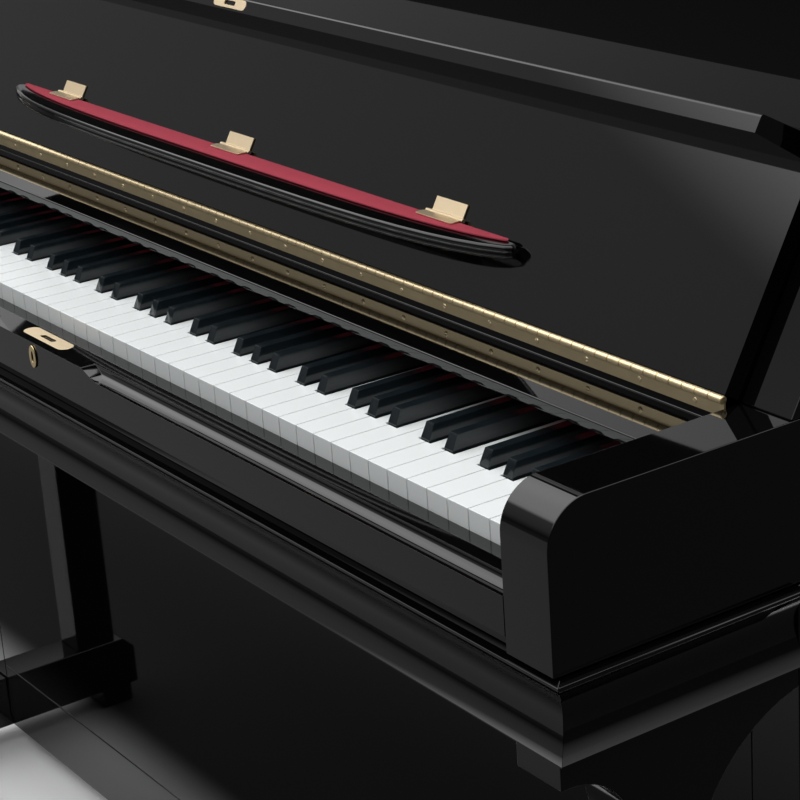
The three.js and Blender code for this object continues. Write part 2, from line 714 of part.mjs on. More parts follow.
function bank(name, from, to) {
  const whites = [];
  const blacks = [];
  for (let i = from; i <= to; i += 1) {
    whites.push(whiteKey(i));
    const black = blackKey(i, true);
    if (black) blacks.push(black);
  }
  const left = from * WHITE_PITCH - KEYS_HALF + KEY_GAP / 2;
  const right = (to + 1) * WHITE_PITCH - KEYS_HALF - KEY_GAP / 2;
  const bar = block(left, right, WHITE_LEVER_END - 1, WHITE_LEVER_END + BANK_BAR, KEY_UNDER, 0);
  add(piano, `white_keys_${name}`, toGeometry(join([...whites, bar])), IVORY);
  const ends = blacks.map((key) => {
    key.computeBoundingBox();
    return key.boundingBox;
  });
  const foot = LEVER_END - 30;
  const tie = block(
    ends[0].min.x, ends[ends.length - 1].max.x, foot - BANK_BAR, foot,
    KEY_UNDER - SHARP_BAR_DROP - 6, KEY_UNDER - SHARP_BAR_DROP,
  );
  add(piano, `black_keys_${name}`, toGeometry(join([tie, ...blacks])), SHARP_BLACK);
}

const MOVING_LAST = MOVING_FIRST + MOVING_COUNT - 1;
bank('bass', 0, MOVING_FIRST - 1);
bank('treble', MOVING_LAST + 1, LAST);

for (let i = MOVING_FIRST; i <= MOVING_LAST; i += 1) {
  const { letter, octave } = nameOf(i);
  add(piano, `key_${letter}${octave}`, whiteKey(i), IVORY);
  const black = blackKey(i, false);
  if (black) add(piano, `key_${letter}${octave}_sharp`, black, SHARP_BLACK);
}

// ---- Fallboard with its nose, strike plate and music shelf --------------------------------------
const fallboard = new THREE.Group();
fallboard.position.set(0, HINGE_Y, HINGE_Z);
fallboard.rotation.x = -LEAN;
piano.add(fallboard);

function fallboardOutline() {
  const shape = new THREE.Shape();
  const face = -FALL_FACE;
  const back = FALL_THICK - FALL_FACE;
  const crown = NOSE_LENGTH + 2;
  shape.moveTo(face, FALL_FOOT);
  shape.lineTo(face, NOSE_BASE);
  shape.lineTo(-NOSE_DEEP, NOSE_INNER);
  shape.lineTo(-NOSE_DEEP, NOSE_LENGTH - TIP_ROUND);
  shape.absarc(-NOSE_DEEP + TIP_ROUND, NOSE_LENGTH - TIP_ROUND, TIP_ROUND, Math.PI, Math.PI / 2, true);
  shape.lineTo(back - NOSE_ROUND, crown);
  shape.absarc(back - NOSE_ROUND, crown - NOSE_ROUND, NOSE_ROUND, Math.PI / 2, 0, true);
  shape.lineTo(back, FALL_FOOT);
  return shape;
}

const strikeAlong = (NOSE_INNER + NOSE_LENGTH) / 2;
const strikeBack = -NOSE_DEEP + platePocket;
const strikePocket = prism(
  roundedBar(STRIKE_HALF + GAP, STRIKE_DEEP + 2 * GAP), 'y', -NOSE_DEEP - 5, strikeBack,
).translate(0, 0, strikeAlong);
const board = cut(toSolid(prism(fallboardOutline(), 'x', -FALL_HALF, FALL_HALF, 8)), [strikePocket]);
add(fallboard, 'fallboard', toGeometry(board), EBONY);
const strike = prism(
  slottedPlate(STRIKE_HALF, STRIKE_DEEP, 9, 4), 'y', -NOSE_DEEP + 0.05, -NOSE_DEEP + PLATE_THICK, 6,
).translate(0, 0, strikeAlong);
add(fallboard, 'lock_strike', strike, BRASS);

const shelfGroup = new THREE.Group();
shelfGroup.position.set(0, -SHELF_STAND, SHELF_ALONG);
shelfGroup.rotation.x = LEAN;
fallboard.add(shelfGroup);

/** The shelf seen from above: straight behind, bowed in front, from y = -back to y = -deep. */
function shelfPlan(half, back, deep, tip) {
  const shape = new THREE.Shape();
  const pull = half * 0.45;
  shape.moveTo(-half, -back);
  shape.lineTo(-half - tip / 2, -back - tip / 2);
  shape.lineTo(-half, -back - tip);
  shape.bezierCurveTo(-half + pull / 3, -deep + 2, -half + pull, -deep, 0, -deep);
  shape.bezierCurveTo(half - pull, -deep, half - pull / 3, -deep + 2, half, -back - tip);
  shape.lineTo(half + tip / 2, -back - tip / 2);
  shape.lineTo(half, -back);
  return shape;
}

const shelfTop = -1.9;
const shelfFoot = shelfTop - SHELF_THICK;
const shelfBack = SHELF_PIN + 1.2;
const faceBehind = (SHELF_STAND - FALL_FACE) / Math.cos(LEAN);
const bevel = Math.tan(LEAN);
/** Wedge that trims the shelf's rear edge parallel to the leaning fallboard. */
const rearTrim = prism(
  outline([
    [faceBehind + 30, 10], [faceBehind - GAP - 0.2 + bevel * 10, 10],
    [faceBehind - GAP - 0.2 + bevel * (shelfFoot - 10), shelfFoot - 10], [faceBehind + 30, shelfFoot - 10],
  ]),
  'x', -SHELF_HALF - 50, SHELF_HALF + 50,
);
const hingeSeats = [-SHELF_HINGE_X, 0, SHELF_HINGE_X];
const shelf = cut(
  toSolid(prism(shelfPlan(SHELF_HALF, shelfBack, SHELF_DEEP, SHELF_TIP), 'z', shelfFoot, shelfTop, 10)),
  [rearTrim],
);
add(shelfGroup, 'music_shelf', toGeometry(shelf), EBONY);
add(
  shelfGroup, 'shelf_felt',
  prism(
    shelfPlan(SHELF_HALF - SHELF_FELT_INSET, shelfBack + 0.5, SHELF_FELT_DEEP, SHELF_TIP / 3), 'z',
    shelfTop + GAP, shelfTop + GAP + 1.4, 10,
  ),
  RED_FELT,
);

const leafFloor = shelfTop + GAP + 1.4 + GAP;
hingeSeats.forEach((x, i) => {
  const half = SHELF_LEAF_WIDE / 2;
  add(
    shelfGroup, `shelf_leaf_${i + 1}`,
    block(x - half, x + half, -shelfBack - SHELF_LEAF_DEEP, -shelfBack, leafFloor, leafFloor + 1), BRASS,
  );
  const pin = new THREE.CylinderGeometry(SHELF_PIN, SHELF_PIN, SHELF_LEAF_WIDE, 10);
  pin.rotateZ(Math.PI / 2).translate(x, -SHELF_STAND, SHELF_ALONG);
  const leafRear = -FALL_FACE - GAP;
  const left = x - half + 4;
  const right = x + half - 4;
  const leafTop = SHELF_ALONG + SHELF_LEAF_TALL;
  const leaf = block(left, right, leafRear - 1.2, leafRear, SHELF_ALONG, leafTop);
  const web = block(left, right, -SHELF_STAND, leafRear - 0.6, SHELF_ALONG, SHELF_ALONG + SHELF_PIN);
  add(fallboard, `shelf_hinge_${i + 1}`, toGeometry(join([pin, leaf, web])), BRASS);
});

// ---- Pedals -------------------------------------------------------------------------------------
function pedalPlan() {
  const shape = new THREE.Shape();
  const shoulder = PEDAL_TIP + PEDAL_HALF;
  const rear = PEDAL_PIVOT + 8;
  shape.absarc(0, shoulder, PEDAL_HALF, Math.PI, 2 * Math.PI, false);
  shape.bezierCurveTo(PEDAL_HALF, shoulder + 40, PEDAL_NECK, shoulder + 30, PEDAL_NECK, shoulder + 80);
  shape.lineTo(PEDAL_NECK, rear);
  shape.lineTo(-PEDAL_NECK, rear);
  shape.lineTo(-PEDAL_NECK, shoulder + 80);
  shape.bezierCurveTo(-PEDAL_NECK, shoulder + 30, -PEDAL_HALF, shoulder + 40, -PEDAL_HALF, shoulder);
  return shape;
}

['soft', 'practice', 'sustain'].forEach((use, i) => {
  const pedal = prism(pedalPlan(), 'z', PEDAL_TOP - PEDAL_THICK, PEDAL_TOP, 8);
  add(piano, `pedal_${use}`, pedal.translate(pedalX[i], 0, 0), BRASS);
});

// ---- Inside: iron plate, strings, action, soundboard and back -----------------------------------
const PLATE_HALF = PANEL_WIDE - 15;
const PLATE_FOOT = -600;
const PLATE_HEAD = 530;
const WINDOW_FOOT = -560;
const WINDOW_HEAD = 330;

function ironPlate() {
  const rear = PLATE_FRONT + PLATE_THICK_IRON;
  const windows = [];
  const count = PLATE_BARS - 1;
  const open = (2 * PLATE_HALF - PLATE_BARS * PLATE_BAR_WIDE) / count;
  for (let i = 0; i < count; i += 1) {
    const x = -PLATE_HALF + PLATE_BAR_WIDE + i * (open + PLATE_BAR_WIDE);
    windows.push(block(x, x + open, PLATE_FRONT - 1, rear + 1, WINDOW_FOOT, WINDOW_HEAD));
  }
  const slab = block(-PLATE_HALF, PLATE_HALF, PLATE_FRONT, rear, PLATE_FOOT, PLATE_HEAD);
  return toGeometry(cut(toSolid(slab), windows));
}

add(piano, 'iron_plate', ironPlate(), GOLD_IRON);

const stringHalf = KEYS_HALF - 20;
const stringHead = WINDOW_HEAD - 5;
const stringFoot = WINDOW_FOOT + 10;
const stringBars = [stringHead, stringFoot].map((z) =>
  block(-stringHalf, stringHalf, STRING_Y, PLATE_FRONT - GAP, z - 6, z + 6),
);
const strings = Array.from({ length: STRING_COUNT }, (_, i) => {
  const x = -stringHalf + 5 + ((2 * stringHalf - 10) * i) / (STRING_COUNT - 1);
  const half = STRING_THICK / 2;
  return block(x - half, x + half, STRING_Y + 1, STRING_Y + 1 + STRING_THICK, stringFoot, stringHead);
});
add(piano, 'strings', toGeometry(join([...stringBars, ...strings])), STEEL);

const bracketHalf = KEYS_HALF + 17;
const railHigh = 30;
const actionRail = [
  block(-bracketHalf, bracketHalf, ACTION_Y, ACTION_Y + 15, ACTION_Z, ACTION_Z + railHigh),
  block(-bracketHalf, -bracketHalf + 12, ACTION_Y, ACTION_Y + 15, frameFoot, ACTION_Z + 1),
  block(bracketHalf - 12, bracketHalf, ACTION_Y, ACTION_Y + 15, frameFoot, ACTION_Z + 1),
];
const hammers = [];
for (let i = 0; i < HAMMER_COUNT; i += 1) {
  const x = (i + 0.5) * ((2 * KEYS_HALF) / HAMMER_COUNT) - KEYS_HALF;
  hammers.push(block(x - 2, x + 2, ACTION_Y + 14, ACTION_Y + 76, ACTION_Z + 12, ACTION_Z + 16));
  hammers.push(block(x - 4, x + 4, ACTION_Y + 72, ACTION_Y + 94, ACTION_Z + 6, ACTION_Z + 26));
}
add(piano, 'action', toGeometry(join([...actionRail, ...hammers])), SPRUCE);

const postHalf = PLATE_HALF + 5;
const boardRear = BOARD_FRONT + BOARD_THICK;
add(
  piano, 'soundboard',
  block(-postHalf, postHalf, BOARD_FRONT, boardRear, RAIL_BOTTOM + 20, PLATE_HEAD - 20), SPRUCE,
);

const postRear = POST_FRONT + POST_DEEP;
const beamHigh = 90;
const frameBottom = RAIL_BOTTOM + 15;
const frameTop = LID_UNDER - 3;
const pinBlockFront = PLATE_FRONT + PLATE_THICK_IRON + GAP;
const posts = Array.from({ length: POST_COUNT }, (_, i) => {
  const x = -postHalf + ((2 * postHalf - POST_WIDE) * i) / (POST_COUNT - 1);
  return block(x, x + POST_WIDE, POST_FRONT, postRear, frameBottom, frameTop);
});
add(
  piano, 'back_frame',
  toGeometry(
    join([
      block(-postHalf, postHalf, POST_FRONT, postRear, frameTop - beamHigh, frameTop),
      block(-postHalf, postHalf, POST_FRONT, postRear, frameBottom, frameBottom + beamHigh),
      ...posts,
      block(-postHalf, postHalf, pinBlockFront, POST_FRONT + 1, PLATE_HEAD - 18, frameTop),
    ]),
  ),
  SPRUCE,
);

// ---- Place the whole piano on the floor ---------------------------------------------------------
const middleY = (MOULD_FRONT + LID_REAR) / 2;
piano.position.set(0, -middleY, KEY_HEIGHT);

export default piano;
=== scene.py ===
"""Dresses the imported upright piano: finishes, rounded edges, keys, hinges, felts, light and camera.

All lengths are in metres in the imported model's frame: +Z up, -Y towards the player and +X towards
the treble end, with the origin in the middle of the footprint on the floor.
"""

from __future__ import annotations

import json
import logging
import math
from dataclasses import dataclass, field
from enum import Enum
from typing import Callable, Iterable, Sequence

import bmesh
import bpy
from mathutils import Matrix, Vector

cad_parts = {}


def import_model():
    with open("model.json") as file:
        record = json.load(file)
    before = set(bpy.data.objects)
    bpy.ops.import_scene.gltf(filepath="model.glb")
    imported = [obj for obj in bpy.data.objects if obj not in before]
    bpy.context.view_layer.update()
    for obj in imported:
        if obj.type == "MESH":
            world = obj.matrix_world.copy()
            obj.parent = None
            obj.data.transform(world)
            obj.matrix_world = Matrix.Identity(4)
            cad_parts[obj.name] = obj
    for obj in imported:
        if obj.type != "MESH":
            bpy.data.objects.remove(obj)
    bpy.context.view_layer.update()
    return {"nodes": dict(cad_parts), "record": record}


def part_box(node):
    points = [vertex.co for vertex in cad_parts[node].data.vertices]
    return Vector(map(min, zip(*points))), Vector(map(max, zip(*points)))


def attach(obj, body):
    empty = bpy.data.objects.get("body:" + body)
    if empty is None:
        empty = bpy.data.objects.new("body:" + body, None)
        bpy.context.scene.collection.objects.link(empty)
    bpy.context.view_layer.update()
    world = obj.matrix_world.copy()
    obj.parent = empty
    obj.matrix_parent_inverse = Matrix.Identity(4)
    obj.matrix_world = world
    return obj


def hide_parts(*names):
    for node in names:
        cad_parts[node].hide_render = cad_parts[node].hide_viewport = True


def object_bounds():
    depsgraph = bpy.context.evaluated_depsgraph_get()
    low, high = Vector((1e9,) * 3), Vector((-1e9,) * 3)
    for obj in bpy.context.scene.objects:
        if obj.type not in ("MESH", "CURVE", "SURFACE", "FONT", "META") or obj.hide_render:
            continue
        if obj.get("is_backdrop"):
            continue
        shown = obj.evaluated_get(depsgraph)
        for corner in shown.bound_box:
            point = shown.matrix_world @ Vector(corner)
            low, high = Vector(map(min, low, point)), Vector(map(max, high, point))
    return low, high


log = logging.getLogger("piano")

MM = 0.001
SAME_PLACE = 0.01 * MM


# ---- Shader node groups ------------------------------------------------------------------------


class Kind(Enum):
    """Socket kinds of a node group."""

    FLOAT = "NodeSocketFloat"
    COLOUR = "NodeSocketColor"
    VECTOR = "NodeSocketVector"


# where a Mix node keeps its factor, its two colours and the mixed colour
MIX_COLOUR_INPUTS = (0, 6, 7)
MIX_COLOUR_OUTPUT = 2


class NodeSheet:
    """A node tree with short ways to add nodes and links."""

    def __init__(self, tree: bpy.types.NodeTree) -> None:
        """Wraps a tree.

        Args:
            tree: the node tree to write in.
        """
        self.tree = tree

    def node(self, kind: str, **values: object) -> bpy.types.Node:
        """Adds a node and sets its properties.

        Args:
            kind: Blender's node type.
            **values: properties of the node.

        Returns:
            The new node.
        """
        made = self.tree.nodes.new(kind)
        for name, value in values.items():
            setattr(made, name, value)
        return made

    def link(self, source: bpy.types.NodeSocket, target: bpy.types.NodeSocket) -> None:
        """Joins two sockets."""
        self.tree.links.new(source, target)

    def noise(self, scale: float, detail: float, distortion: float = 0.0) -> bpy.types.Node:
        """Adds a noise texture.

        Args:
            scale: how fine it is.
            detail: how many finer layers it has.
            distortion: how far it is warped.

        Returns:
            The texture's node.
        """
        made = self.node("ShaderNodeTexNoise")
        made.inputs["Scale"].default_value = scale
        made.inputs["Detail"].default_value = detail
        made.inputs["Distortion"].default_value = distortion
        return made

    def feed(self, targets: Iterable[bpy.types.NodeSocket], values: Iterable[object]) -> None:
        """Gives each input its socket or its plain value.

        Args:
            targets: the inputs.
            values: a socket, a number or a colour for each.
        """
        for target, value in zip(targets, values):
            if isinstance(value, bpy.types.NodeSocket):
                self.link(value, target)
            else:
                target.default_value = value

    def maths(self, how: str, *values: object, clamp: bool = False) -> bpy.types.NodeSocket:
        """Adds a maths node.

        Args:
            how: the operation.
            *values: two or three sockets or numbers.
            clamp: whether the result stays between 0 and 1.

        Returns:
            The result's socket.
        """
        made = self.node("ShaderNodeMath", operation=how, use_clamp=clamp)
        self.feed(made.inputs, values)
        return made.outputs[0]

    def mixed(self, share: object, low: object, high: object) -> bpy.types.NodeSocket:
        """Mixes two colours.

        Args:
            share: a socket or a number, how much of the second colour.
            low: a socket or a colour.
            high: a socket or a colour.

        Returns:
            The mixed colour's socket.
        """
        made = self.node("ShaderNodeMix", data_type="RGBA")
        factor, first, second = (made.inputs[i] for i in MIX_COLOUR_INPUTS)
        self.feed((factor, first, second), (share, low, high))
        return made.outputs[MIX_COLOUR_OUTPUT]


def new_group(
    name: str, inputs: Sequence[tuple[str, Kind, object]], outputs: Sequence[tuple[str, Kind]],
) -> tuple[bpy.types.NodeTree, NodeSheet, bpy.types.Node, bpy.types.Node]:
    """Starts a shader node group with named sockets.

    Args:
        name: the group's name.
        inputs: name, kind and default of each input.
        outputs: name and kind of each output.

    Returns:
        The group, its sheet, its input node and its output node.
    """
    group = bpy.data.node_groups.new(name, "ShaderNodeTree")
    for label, kind, value in inputs:
        socket = group.interface.new_socket(name=label, in_out="INPUT", socket_type=kind.value)
        socket.default_value = value
    for label, kind in outputs:
        group.interface.new_socket(name=label, in_out="OUTPUT", socket_type=kind.value)
    sheet = NodeSheet(group)
    return group, sheet, sheet.node("NodeGroupInput"), sheet.node("NodeGroupOutput")


def handling_group() -> bpy.types.NodeTree:
    """Fine wear of a polished surface: cloudy wipe marks and hair scratches.

    Returns:
        A group that puts out a roughness and a height.
    """
    group, sheet, given, result = new_group(
        "handling",
        [("Scale", Kind.FLOAT, 6.0), ("Roughness", Kind.FLOAT, 0.05), ("Spread", Kind.FLOAT, 0.04)],
        [("Roughness", Kind.FLOAT), ("Height", Kind.FLOAT)],
    )
    hair_stretch = (1.0, 9.0, 9.0)  # scratches are longest along the keyboard
    hair_scale = 260.0
    noise_middle = 0.5  # wipe marks are where the clouds rise above it
    place = sheet.node("ShaderNodeTexCoord")
    clouds = sheet.node("ShaderNodeTexNoise")
    clouds.inputs["Detail"].default_value = 4.0
    sheet.link(place.outputs["Object"], clouds.inputs["Vector"])
    sheet.link(given.outputs["Scale"], clouds.inputs["Scale"])
    stretch = sheet.node("ShaderNodeMapping")
    stretch.inputs["Scale"].default_value = hair_stretch
    sheet.link(place.outputs["Object"], stretch.inputs["Vector"])
    hairs = sheet.noise(hair_scale, 2.0)
    sheet.link(stretch.outputs["Vector"], hairs.inputs["Vector"])
    soft = sheet.maths("SUBTRACT", clouds.outputs["Fac"], noise_middle, clamp=True)
    share = sheet.maths("MULTIPLY", soft, given.outputs["Spread"])
    sheet.link(sheet.maths("ADD", share, given.outputs["Roughness"]), result.inputs["Roughness"])
    sheet.link(hairs.outputs["Fac"], result.inputs["Height"])
    return group


def grain_group() -> bpy.types.NodeTree:
    """Straight wood grain that runs along the axis least stretched.

    Returns:
        A group that puts out a colour and a height.
    """
    group, sheet, given, result = new_group(
        "grain",
        [
            ("Early wood", Kind.COLOUR, (0.6, 0.4, 0.2, 1)),
            ("Late wood", Kind.COLOUR, (0.4, 0.25, 0.1, 1)),
            ("Stretch", Kind.VECTOR, (40.0, 40.0, 2.0)),
        ],
        [("Colour", Kind.COLOUR), ("Height", Kind.FLOAT)],
    )
    place = sheet.node("ShaderNodeTexCoord")
    stretch = sheet.node("ShaderNodeMapping")
    sheet.link(place.outputs["Object"], stretch.inputs["Vector"])
    sheet.link(given.outputs["Stretch"], stretch.inputs["Scale"])
    gain, offset = 2.4, -0.7  # spread the noise's middle over the two colours
    rings = sheet.noise(3.0, 6.0, 0.6)
    sheet.link(stretch.outputs["Vector"], rings.inputs["Vector"])
    contrast = sheet.maths("MULTIPLY_ADD", rings.outputs["Fac"], gain, offset, clamp=True)
    colour = sheet.mixed(contrast, given.outputs["Early wood"], given.outputs["Late wood"])
    sheet.link(colour, result.inputs["Colour"])
    sheet.link(rings.outputs["Fac"], result.inputs["Height"])
    return group


def fibre_group() -> bpy.types.NodeTree:
    """Pressed felt: short fibres with a cloudy colour.

    Returns:
        A group that puts out a colour and a height.
    """
    group, sheet, given, result = new_group(
        "fibre",
        [("Deep", Kind.COLOUR, (0.3, 0.02, 0.05, 1)), ("Light", Kind.COLOUR, (0.6, 0.1, 0.14, 1))],
        [("Colour", Kind.COLOUR), ("Height", Kind.FLOAT)],
    )
    place = sheet.node("ShaderNodeTexCoord")
    fibres = sheet.noise(1500.0, 6.0, 1.5)
    sheet.link(place.outputs["Object"], fibres.inputs["Vector"])
    clouds = sheet.noise(60.0, 3.0)
    sheet.link(place.outputs["Object"], clouds.inputs["Vector"])
    fibre_share = 0.6
    cloudy = sheet.maths("MULTIPLY", clouds.outputs["Fac"], 1.0 - fibre_share)
    both = sheet.maths("MULTIPLY_ADD", fibres.outputs["Fac"], fibre_share, cloudy)
    sheet.link(sheet.mixed(both, given.outputs["Deep"], given.outputs["Light"]), result.inputs["Colour"])
    sheet.link(fibres.outputs["Fac"], result.inputs["Height"])
    return group


# ---- Finishes -----------------------------------------------------------------------------------


class Stretch(Enum):
    """Which way the grain of a wooden piece runs."""

    ALONG_KEYBOARD = (2.0, 40.0, 40.0)
    UPRIGHT = (40.0, 40.0, 2.0)


@dataclass(frozen=True)
class Finish:
    """What every finish of the piano has."""

    name: str
    slot: str
    colour: tuple[float, float, float]
    roughness: float
    metallic: float = 0.0
    specular: float = 0.5

    def start(self) -> tuple[bpy.types.Material, NodeSheet, bpy.types.Node]:
        """Makes the material with its plain values.

        Returns:
            The material, the sheet of its nodes and its shader.
        """
        material = bpy.data.materials.new(self.name)
        material.use_nodes = True
        sheet = NodeSheet(material.node_tree)
        shader = material.node_tree.nodes["Principled BSDF"]
        shader.inputs["Base Color"].default_value = (*self.colour, 1)
        shader.inputs["Roughness"].default_value = self.roughness
        shader.inputs["Metallic"].default_value = self.metallic
        shader.inputs["Specular IOR Level"].default_value = self.specular
        return material, sheet, shader

    def group(self, sheet: NodeSheet, name: str, **values: object) -> bpy.types.Node:
        """Places a node group in the material.

        Args:
            sheet: the material's nodes.
            name: the group's name.
            **values: input values by name, with _ for a space.

        Returns:
            The group's node.
        """
        made = sheet.node("ShaderNodeGroup")
        made.node_tree = bpy.data.node_groups[name]
        for label, value in values.items():
            made.inputs[label.replace("_", " ")].default_value = value
        return made

    def bump(self, sheet: NodeSheet, shader: bpy.types.Node, height: object, deep: float) -> None:
        """Feeds a height to the shader's normal.

        Args:
            sheet: the material's nodes.
            shader: the material's shader.
            height: the socket that gives the height.
            deep: depth of the relief in metres.
        """
        made = sheet.node("ShaderNodeBump")
        made.inputs["Strength"].default_value = 1.0
        made.inputs["Distance"].default_value = deep
        sheet.link(height, made.inputs["Height"])
        sheet.link(made.outputs["Normal"], shader.inputs["Normal"])

    def make(self) -> bpy.types.Material:
        """Builds the material; each kind of finish has its own way."""
        raise NotImplementedError(self.name)


@dataclass(frozen=True)
class Polish(Finish):
    """A hand-polished hard surface: lacquer, key coverings or metal."""

    marks: float = 6.0
    spread: float = 0.05
    relief: float = 0.0

    def make(self) -> bpy.types.Material:
        """Builds the polished material with wipe marks in its gloss.

        Returns:
            The material.
        """
        material, sheet, shader = self.start()
        marks = self.group(
            sheet, "handling", Scale=self.marks, Roughness=self.roughness, Spread=self.spread
        )
        sheet.link(marks.outputs["Roughness"], shader.inputs["Roughness"])
        if self.relief:
            self.bump(sheet, shader, marks.outputs["Height"], self.relief)
        return material


@dataclass(frozen=True)
class Timber(Finish):
    """Clear-finished wood."""

    late: tuple[float, float, float] = (0.3, 0.18, 0.07)
    run: Stretch = Stretch.UPRIGHT
    relief: float = 0.4 * MM

    def make(self) -> bpy.types.Material:
        """Builds the wood with its grain.

        Returns:
            The material.
        """
        material, sheet, shader = self.start()
        grain = self.group(
            sheet, "grain", Early_wood=(*self.colour, 1), Late_wood=(*self.late, 1), Stretch=self.run.value
        )
        sheet.link(grain.outputs["Colour"], shader.inputs["Base Color"])
        self.bump(sheet, shader, grain.outputs["Height"], self.relief)
        return material


@dataclass(frozen=True)
class Felt(Finish):
    """Pressed wool felt."""

    light: tuple[float, float, float] = (0.6, 0.1, 0.14)
    relief: float = 0.6 * MM
    sheen: float = 0.15
    sheen_roughness: float = 0.5

    def make(self) -> bpy.types.Material:
        """Builds the felt with its fibres and sheen.

        Returns:
            The material.
        """
        material, sheet, shader = self.start()
        fibre = self.group(sheet, "fibre", Deep=(*self.colour, 1), Light=(*self.light, 1))
        sheet.link(fibre.outputs["Colour"], shader.inputs["Base Color"])
        self.bump(sheet, shader, fibre.outputs["Height"], self.relief)
        shader.inputs["Sheen Weight"].default_value = self.sheen
        shader.inputs["Sheen Roughness"].default_value = self.sheen_roughness
        shader.inputs["Sheen Tint"].default_value = (*self.light, 1)
        return material


EBONY = Polish("ebony_polish", "ebony_polish", (0.0013, 0.0013, 0.0014), 0.03)
IVORY = Polish("key_white", "ivory_white", (0.8, 0.83, 0.83), 0.2, marks=40.0, spread=0.1)
SHARP = Polish("key_black", "sharp_black", (0.006, 0.010, 0.012), 0.13, marks=60.0, spread=0.12)
BRASS = Polish("brass", "polished_brass", (0.86, 0.68, 0.38), 0.2, metallic=1.0, marks=90.0, spread=0.25)
HINGE_BRASS = Polish(
    "hinge_brass", "polished_brass", (0.92, 0.76, 0.48), 0.42,
    metallic=1.0, marks=60.0, spread=0.3, relief=0.03 * MM,
)
SATIN_BRASS = Polish(
    "satin_brass", "polished_brass", (0.84, 0.69, 0.47), 0.45,
    metallic=1.0, marks=200.0, spread=0.25, relief=0.04 * MM,
)
RED_FELT = Felt("red_felt", "red_felt", (0.36, 0.03, 0.055), 0.95, light=(0.52, 0.06, 0.095))
# painted light: the shelf's red felt made about twice as bright, so that it shows red in the shade under the
# name rail's ledge
NAME_FELT_PAINTED_LIGHT = Felt("name_felt_red_painted_light", "red_felt", (0.75, 0.04, 0.09), 0.95, light=(0.95, 0.09, 0.15))
WHITE_FELT = Felt("white_felt", "natural_spruce", (0.6, 0.58, 0.52), 0.95, light=(0.8, 0.78, 0.72))
SPRUCE = Timber("spruce", "natural_spruce", (0.6, 0.42, 0.22), 0.5, late=(0.42, 0.26, 0.11))
ACTION_WOOD = Timber(
    "action_wood", "natural_spruce", (0.58, 0.4, 0.22), 0.5,
    late=(0.42, 0.27, 0.13), run=Stretch.ALONG_KEYBOARD,
)
IRON = Polish(
    "bronzed_iron", "bronzed_iron", (0.5, 0.34, 0.12), 0.35,
    metallic=0.7, marks=30.0, spread=0.3, relief=0.2 * MM,
)
BACK_TIMBER = Timber("back_timber", "natural_spruce", (0.5, 0.34, 0.18), 0.55, late=(0.36, 0.22, 0.1))
STEEL = Polish("string_steel", "string_steel", (0.5, 0.5, 0.52), 0.3, metallic=1.0, marks=80.0, spread=0.2)
PIN_STEEL = Polish(
    "pin_steel", "string_steel", (0.42, 0.44, 0.5), 0.24, metallic=1.0, marks=120.0, spread=0.2,
)


class Palette:
    """The materials, each built once when a piece first asks for it."""

    def __init__(self) -> None:
        """Builds the node groups that the finishes share."""
        handling_group()
        grain_group()
        fibre_group()
        self.made: dict[str, bpy.types.Material] = {}

    def material(self, finish: Finish) -> bpy.types.Material:
        """Gives the material of a finish.

        Args:
            finish: the finish asked for.

        Returns:
            Its material.
        """
        if finish.name not in self.made:
            self.made[finish.name] = finish.make()
        return self.made[finish.name]


# ---- Workshop: what turns meshes into finished pieces -------------------------------------------


